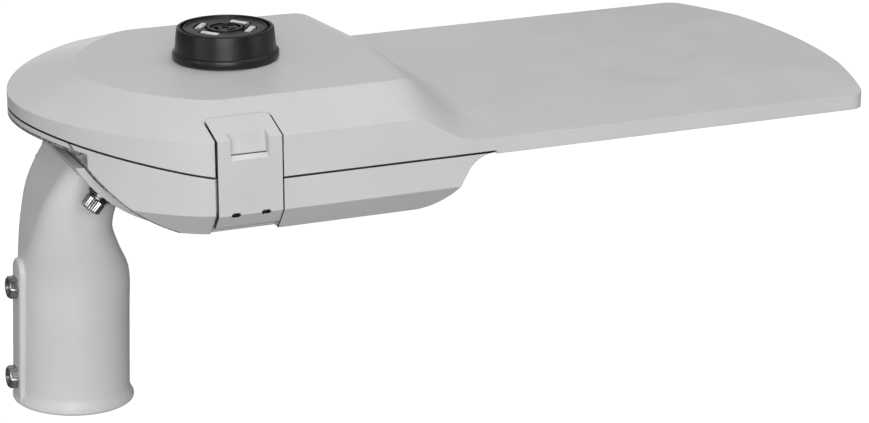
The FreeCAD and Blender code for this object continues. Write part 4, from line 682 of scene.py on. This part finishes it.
# The latch's spring is a bent leaf of rolled stainless strip, riveted to the back of the lever.
# Its foot is under the rivets, and its bend snaps over the cover's catch.
dress("latch_spring", surface("rolled_strip", (0.46, 0.455, 0.44), 0.26, metal=1.0, cloud=90.0,
                              mottle=0.18, grain=1500.0, relief=0.00002, drawn=(1.0, 1.0, 9.0)))

# The pins of the latch and the hinges, the rivets and the small screws are made from stainless wire.
# They are pressed, riveted or screwed in, and keep the bright skin of the wire.
polished_pin = surface("polished_pin", (0.5, 0.495, 0.485), 0.2, metal=1.0, cloud=150.0, mottle=0.2,
                       grain=2800.0, relief=0.00002)
for node in ("latch_pin", "hinge_pins", "latch_rivets",
             "gear_plate_screws", "cable_clamp_screws", "lens_screws"):
    dress(node, polished_pin)

# The gasket between the castings, the light modules' seals, the cable bush and the socket's ring are rubber.
# They are moulded in black silicone, matt, with a fine skin and a trace of pale dust.
rubber = surface("seal_rubber", (0.022, 0.022, 0.023), 0.72, cloud=60.0, mottle=0.5, grain=1500.0,
                 relief=0.00006)
for node in ("cover_gasket", "lens_seals", "cable_bush", "socket_seal"):
    dress(node, rubber)

# The socket for the photocell is moulded in black plastic and held from below with a nut.
# Its face has a rim, a groove, room for four control pads, and three curved slots for the blades.
# The nut, the tray's vent plug and the cable clamp are moulded in the same plastic.
socket_x, socket_top = 108.3, 233.6
pad_angles, blade_angles = (37, 143, 217, 323), (57, 177, 297)


def apart(angle, middle):
    return abs((math.degrees(angle) - middle + 180) % 360 - 180)


def face_level(reach):
    def level(angle):
        if reach > 28.7:
            return socket_top - 0.05 * (reach - 28.7)
        if reach > 26.6:
            return socket_top - 2.6
        if reach > 25.6:
            return socket_top - 0.5
        if 13.3 < reach < 20.2 and min(apart(angle, middle) for middle in pad_angles) < 25.5:
            return socket_top - 3.4
        if 11.4 < reach <= 12.6:
            return socket_top - 3.0
        if 9.8 < reach <= 11.4:
            return socket_top - 0.3
        if 8.9 < reach <= 9.8:
            return socket_top - 2.4
        if 4.6 < reach < 7.3 and min(apart(angle, middle) for middle in blade_angles) < 36:
            return socket_top - 6.5
        if reach < 2.6:
            return socket_top - 2.8
        return socket_top - 1.0
    return level


face_steps = [
    2.0, 2.5, 2.7, 4.5, 4.7, 5.9, 7.2, 7.4, 8.8, 9.0, 9.7, 9.9, 11.3, 11.5, 12.5, 12.7, 13.2, 13.4, 16.7,
    20.1, 20.3, 23.0, 25.5, 25.7, 26.5, 26.7, 28.6, 28.8, 29.9]
face = [circle(0.3, socket_top - 2.8)] + [circle(reach, face_level(reach)) for reach in face_steps]
wall = [(30.6, 233.35), (30.95, 232.8), (31.05, 232.2), (31.7, 225.4), (32.3, 219.2), (33.0, 218.9),
        (33.7, 218.4), (34.0, 217.6), (34.0, 214.9), (33.6, 214.2), (20.0, 214.2)]
neck_crest, neck_root, neck_pitch = 19.9, 19.3, 0.75
for thread in range(9):
    wall += [(neck_crest, 207.4 - neck_pitch * thread), (neck_root, 207.0 - neck_pitch * thread)]
wall += [(19.2, 200.6), (6.0, 200.6), (6.0, 210.5), (0.4, 210.5)]
on_plateau = in_head @ Matrix.Translation((socket_x, 0, 0))
shape = bmesh.new()
skin(shape, face + [circle(reach, level) for reach, level in wall], on_plateau, 240)
black_moulding = surface("black_moulding", (0.0075, 0.0075, 0.008), 0.34, cloud=70.0, mottle=0.3,
                         grain=1900.0, relief=0.00003)
black_moulding.node_tree.nodes["Principled BSDF"].inputs["Specular IOR Level"].default_value = 0.32
finished(as_object("twist_lock_socket", shape), black_moulding,
         "lamp_cover", "black_plastic", "photocell_socket")
for node in ("socket_nut", "vent_plug", "cable_clamp"):
    dress(node, black_moulding)

# The four pads of the socket are small plates of plated spring metal, let into its face along the ring.
# The pins of the photocell press on them for the control wires.
pad_reach, pad_half = 16.4, 6.2
pad_section = [(-2.0, 230.3), (2.0, 230.3), (2.0, 232.5), (1.2, 233.0), (-1.2, 233.0), (-2.0, 232.5)]
shape = bmesh.new()
for angle in pad_angles:
    turned = on_plateau @ Matrix.Rotation(math.radians(angle), 4, "Z")
    bar(shape, pad_section, -pad_half, pad_half, turned @ Matrix.Translation((pad_reach, 0, 0)))
contact_plate = surface("contact_plate", (0.93, 0.925, 0.91), 0.3, metal=0.6, cloud=200.0, mottle=0.08,
                        grain=2400.0, relief=0.00002)
finished(as_object("control_pads", shape), contact_plate, "lamp_cover", "contact_metal", "socket_contacts")

# Four lens plates close the light modules under the panel, each on its seal and held by screws.
# Each is moulded in clear acrylic, with twelve oval domes that throw the light along the road.
lens_plate_z, lens_thick, lens_dome = 173.9, 2.2, 2.15
module_half_x, module_half_y, module_corner = 58.0, 56.0, 5.0
module_places = [(across, side * 58.0) for across in (312.0, 432.0) for side in (-1, 1)]
dome_columns, dome_rows, dome_steps = (-36.0, 0.0, 36.0), (-39.0, -13.0, 13.0, 39.0), 8
plate_rings = [
    squarish(level, -module_half_x + inset, module_half_x - inset, module_half_y - inset, module_corner)
    for level, inset in ((lens_plate_z + lens_thick, 0.0), (lens_plate_z + 0.5, 0.0), (lens_plate_z, 0.5),
                         (lens_plate_z, 3.5), (lens_plate_z + 0.5, 4.0), (lens_plate_z + 0.5, 7.5))]


def oval(long_reach, short_reach):
    def reach(angle):
        across, along = short_reach * math.cos(angle), long_reach * math.sin(angle)
        return long_reach * short_reach / math.hypot(across, along)
    return reach


dome_rings = [circle(oval(7.4, 9.2), lens_plate_z + 0.6), circle(oval(7.3, 9.1), lens_plate_z + 0.1)]
for step in range(1, dome_steps + 1):
    rise = math.radians(10 * step)
    dome_rings.append(circle(oval(6.6 * math.cos(rise) + 0.2, 8.6 * math.cos(rise) + 0.2),
                             lens_plate_z - lens_dome * math.sin(rise)))
shape = bmesh.new()
for across, depth in module_places:
    module_middle = in_head @ Matrix.Translation((across, depth, 0))
    skin(shape, plate_rings, module_middle, 96)
    for column in dome_columns:
        for row in dome_rows:
            skin(shape, dome_rings, module_middle @ Matrix.Translation((column, row, 0)), 40)
clear = surface("clear_lens", (0.96, 0.97, 0.98), 0.06, cloud=40.0, mottle=0.02, grain=900.0, relief=0.000008)
clear_shader = clear.node_tree.nodes["Principled BSDF"]
clear_shader.inputs["Transmission Weight"].default_value = 0.9
clear_shader.inputs["IOR"].default_value = 1.49
finished(as_object("lens_arrays", shape), clear, "lamp_cover", "clear_lens", "lens_plates")

# Behind each lens plate lies a board in white enamel, with gold-coloured tracks.
# The chips soldered on it are covered with yellow phosphor.
board = surface("board_enamel", (0.82, 0.83, 0.81), 0.35, cloud=120.0, mottle=0.03, grain=1800.0,
                relief=0.00002)
nodes, links = board.node_tree.nodes, board.node_tree.links
tracks = nodes.new("ShaderNodeTexBrick")
tracks.inputs["Scale"].default_value = 60.0
tracks.inputs["Mortar Size"].default_value = 0.02
for part_of_board, colour in (("Color1", (0.8, 0.81, 0.79, 1.0)), ("Color2", (0.84, 0.85, 0.83, 1.0)),
                              ("Mortar", (0.55, 0.5, 0.36, 1.0))):
    tracks.inputs[part_of_board].default_value = colour
board_place = nodes.new("ShaderNodeTexCoord")
links.new(board_place.outputs["Object"], tracks.inputs["Vector"])
links.new(tracks.outputs["Color"], nodes["tinted"].inputs[0])
dress("led_boards", board)
dress("led_chips", surface("phosphor", (0.86, 0.62, 0.12), 0.4, cloud=900.0, mottle=0.1, grain=5000.0,
                           relief=0.00002))

# The gear is screwed to a zinc-plated steel sheet on the floor of the tray.
# The largest piece on it is the driver, a pale moulded case with a lid, cooling ribs and two fixing ears.
dress("gear_plate", surface("zinc_sheet", (0.62, 0.63, 0.64), 0.34, metal=1.0, cloud=160.0, mottle=0.25,
                            grain=700.0, relief=0.00003))
gear_top = 147.5


def case(shape, low, high, soften):
    corners = bmesh.ops.create_cube(shape, size=1.0)["verts"]
    middle = (Vector(low) + Vector(high)) / 2
    reach = Vector(high) - Vector(low)
    for corner in corners:
        corner.co = in_head @ (middle + Vector([corner.co[axis] * reach[axis] for axis in range(3)]))
    edges = {edge for corner in corners for edge in corner.link_edges}
    bmesh.ops.bevel(shape, geom=list(edges), offset=soften * 0.001, segments=2, affect="EDGES", profile=0.5)


shape = bmesh.new()
case(shape, (129.0, -69.0, gear_top + 0.1), (185.0, 69.0, gear_top + 29.0), 1.6)
case(shape, (128.2, -69.8, gear_top + 24.0), (185.8, 69.8, gear_top + 31.2), 1.0)
for number in range(17):
    rib_y = -58.0 + 7.0 * number
    case(shape, (134.0, rib_y, gear_top + 30.9), (180.0, rib_y + 3.5, gear_top + 32.8), 0.5)
for ear_y in (-69.8, 62.8):
    case(shape, (146.0, ear_y, gear_top + 0.1), (168.0, ear_y + 7.0, gear_top + 4.0), 0.6)
driver_moulding = surface("driver_moulding", (0.8, 0.8, 0.78), 0.42, cloud=50.0, mottle=0.05,
                          grain=1300.0, relief=0.00004)
finished(as_object("driver_case", shape), driver_moulding, "gear_tray", "white_case", "driver")

# The surge protector is a small black moulded case with a lid and a button, ribbed down its sides.
# The terminal block beside it is moulded in pale nylon.
shape = bmesh.new()
case(shape, (76.2, 30.2, gear_top + 0.1), (115.8, 65.8, gear_top + 22.0), 1.5)
case(shape, (78.0, 32.0, gear_top + 20.0), (114.0, 64.0, gear_top + 26.0), 1.8)
case(shape, (90.0, 44.0, gear_top + 25.0), (102.0, 52.0, gear_top + 27.6), 0.8)
for number in range(5):
    rib_x = 79.5 + 7.6 * number
    case(shape, (rib_x, 30.6, gear_top + 4.0), (rib_x + 3.5, 65.4, gear_top + 23.4), 0.5)
finished(as_object("surge_case", shape), black_moulding, "gear_tray", "black_plastic", "surge_protector")
dress("terminal_block", surface("pale_nylon", (0.78, 0.75, 0.66), 0.5, cloud=90.0, mottle=0.05,
                                grain=1700.0, relief=0.00003))
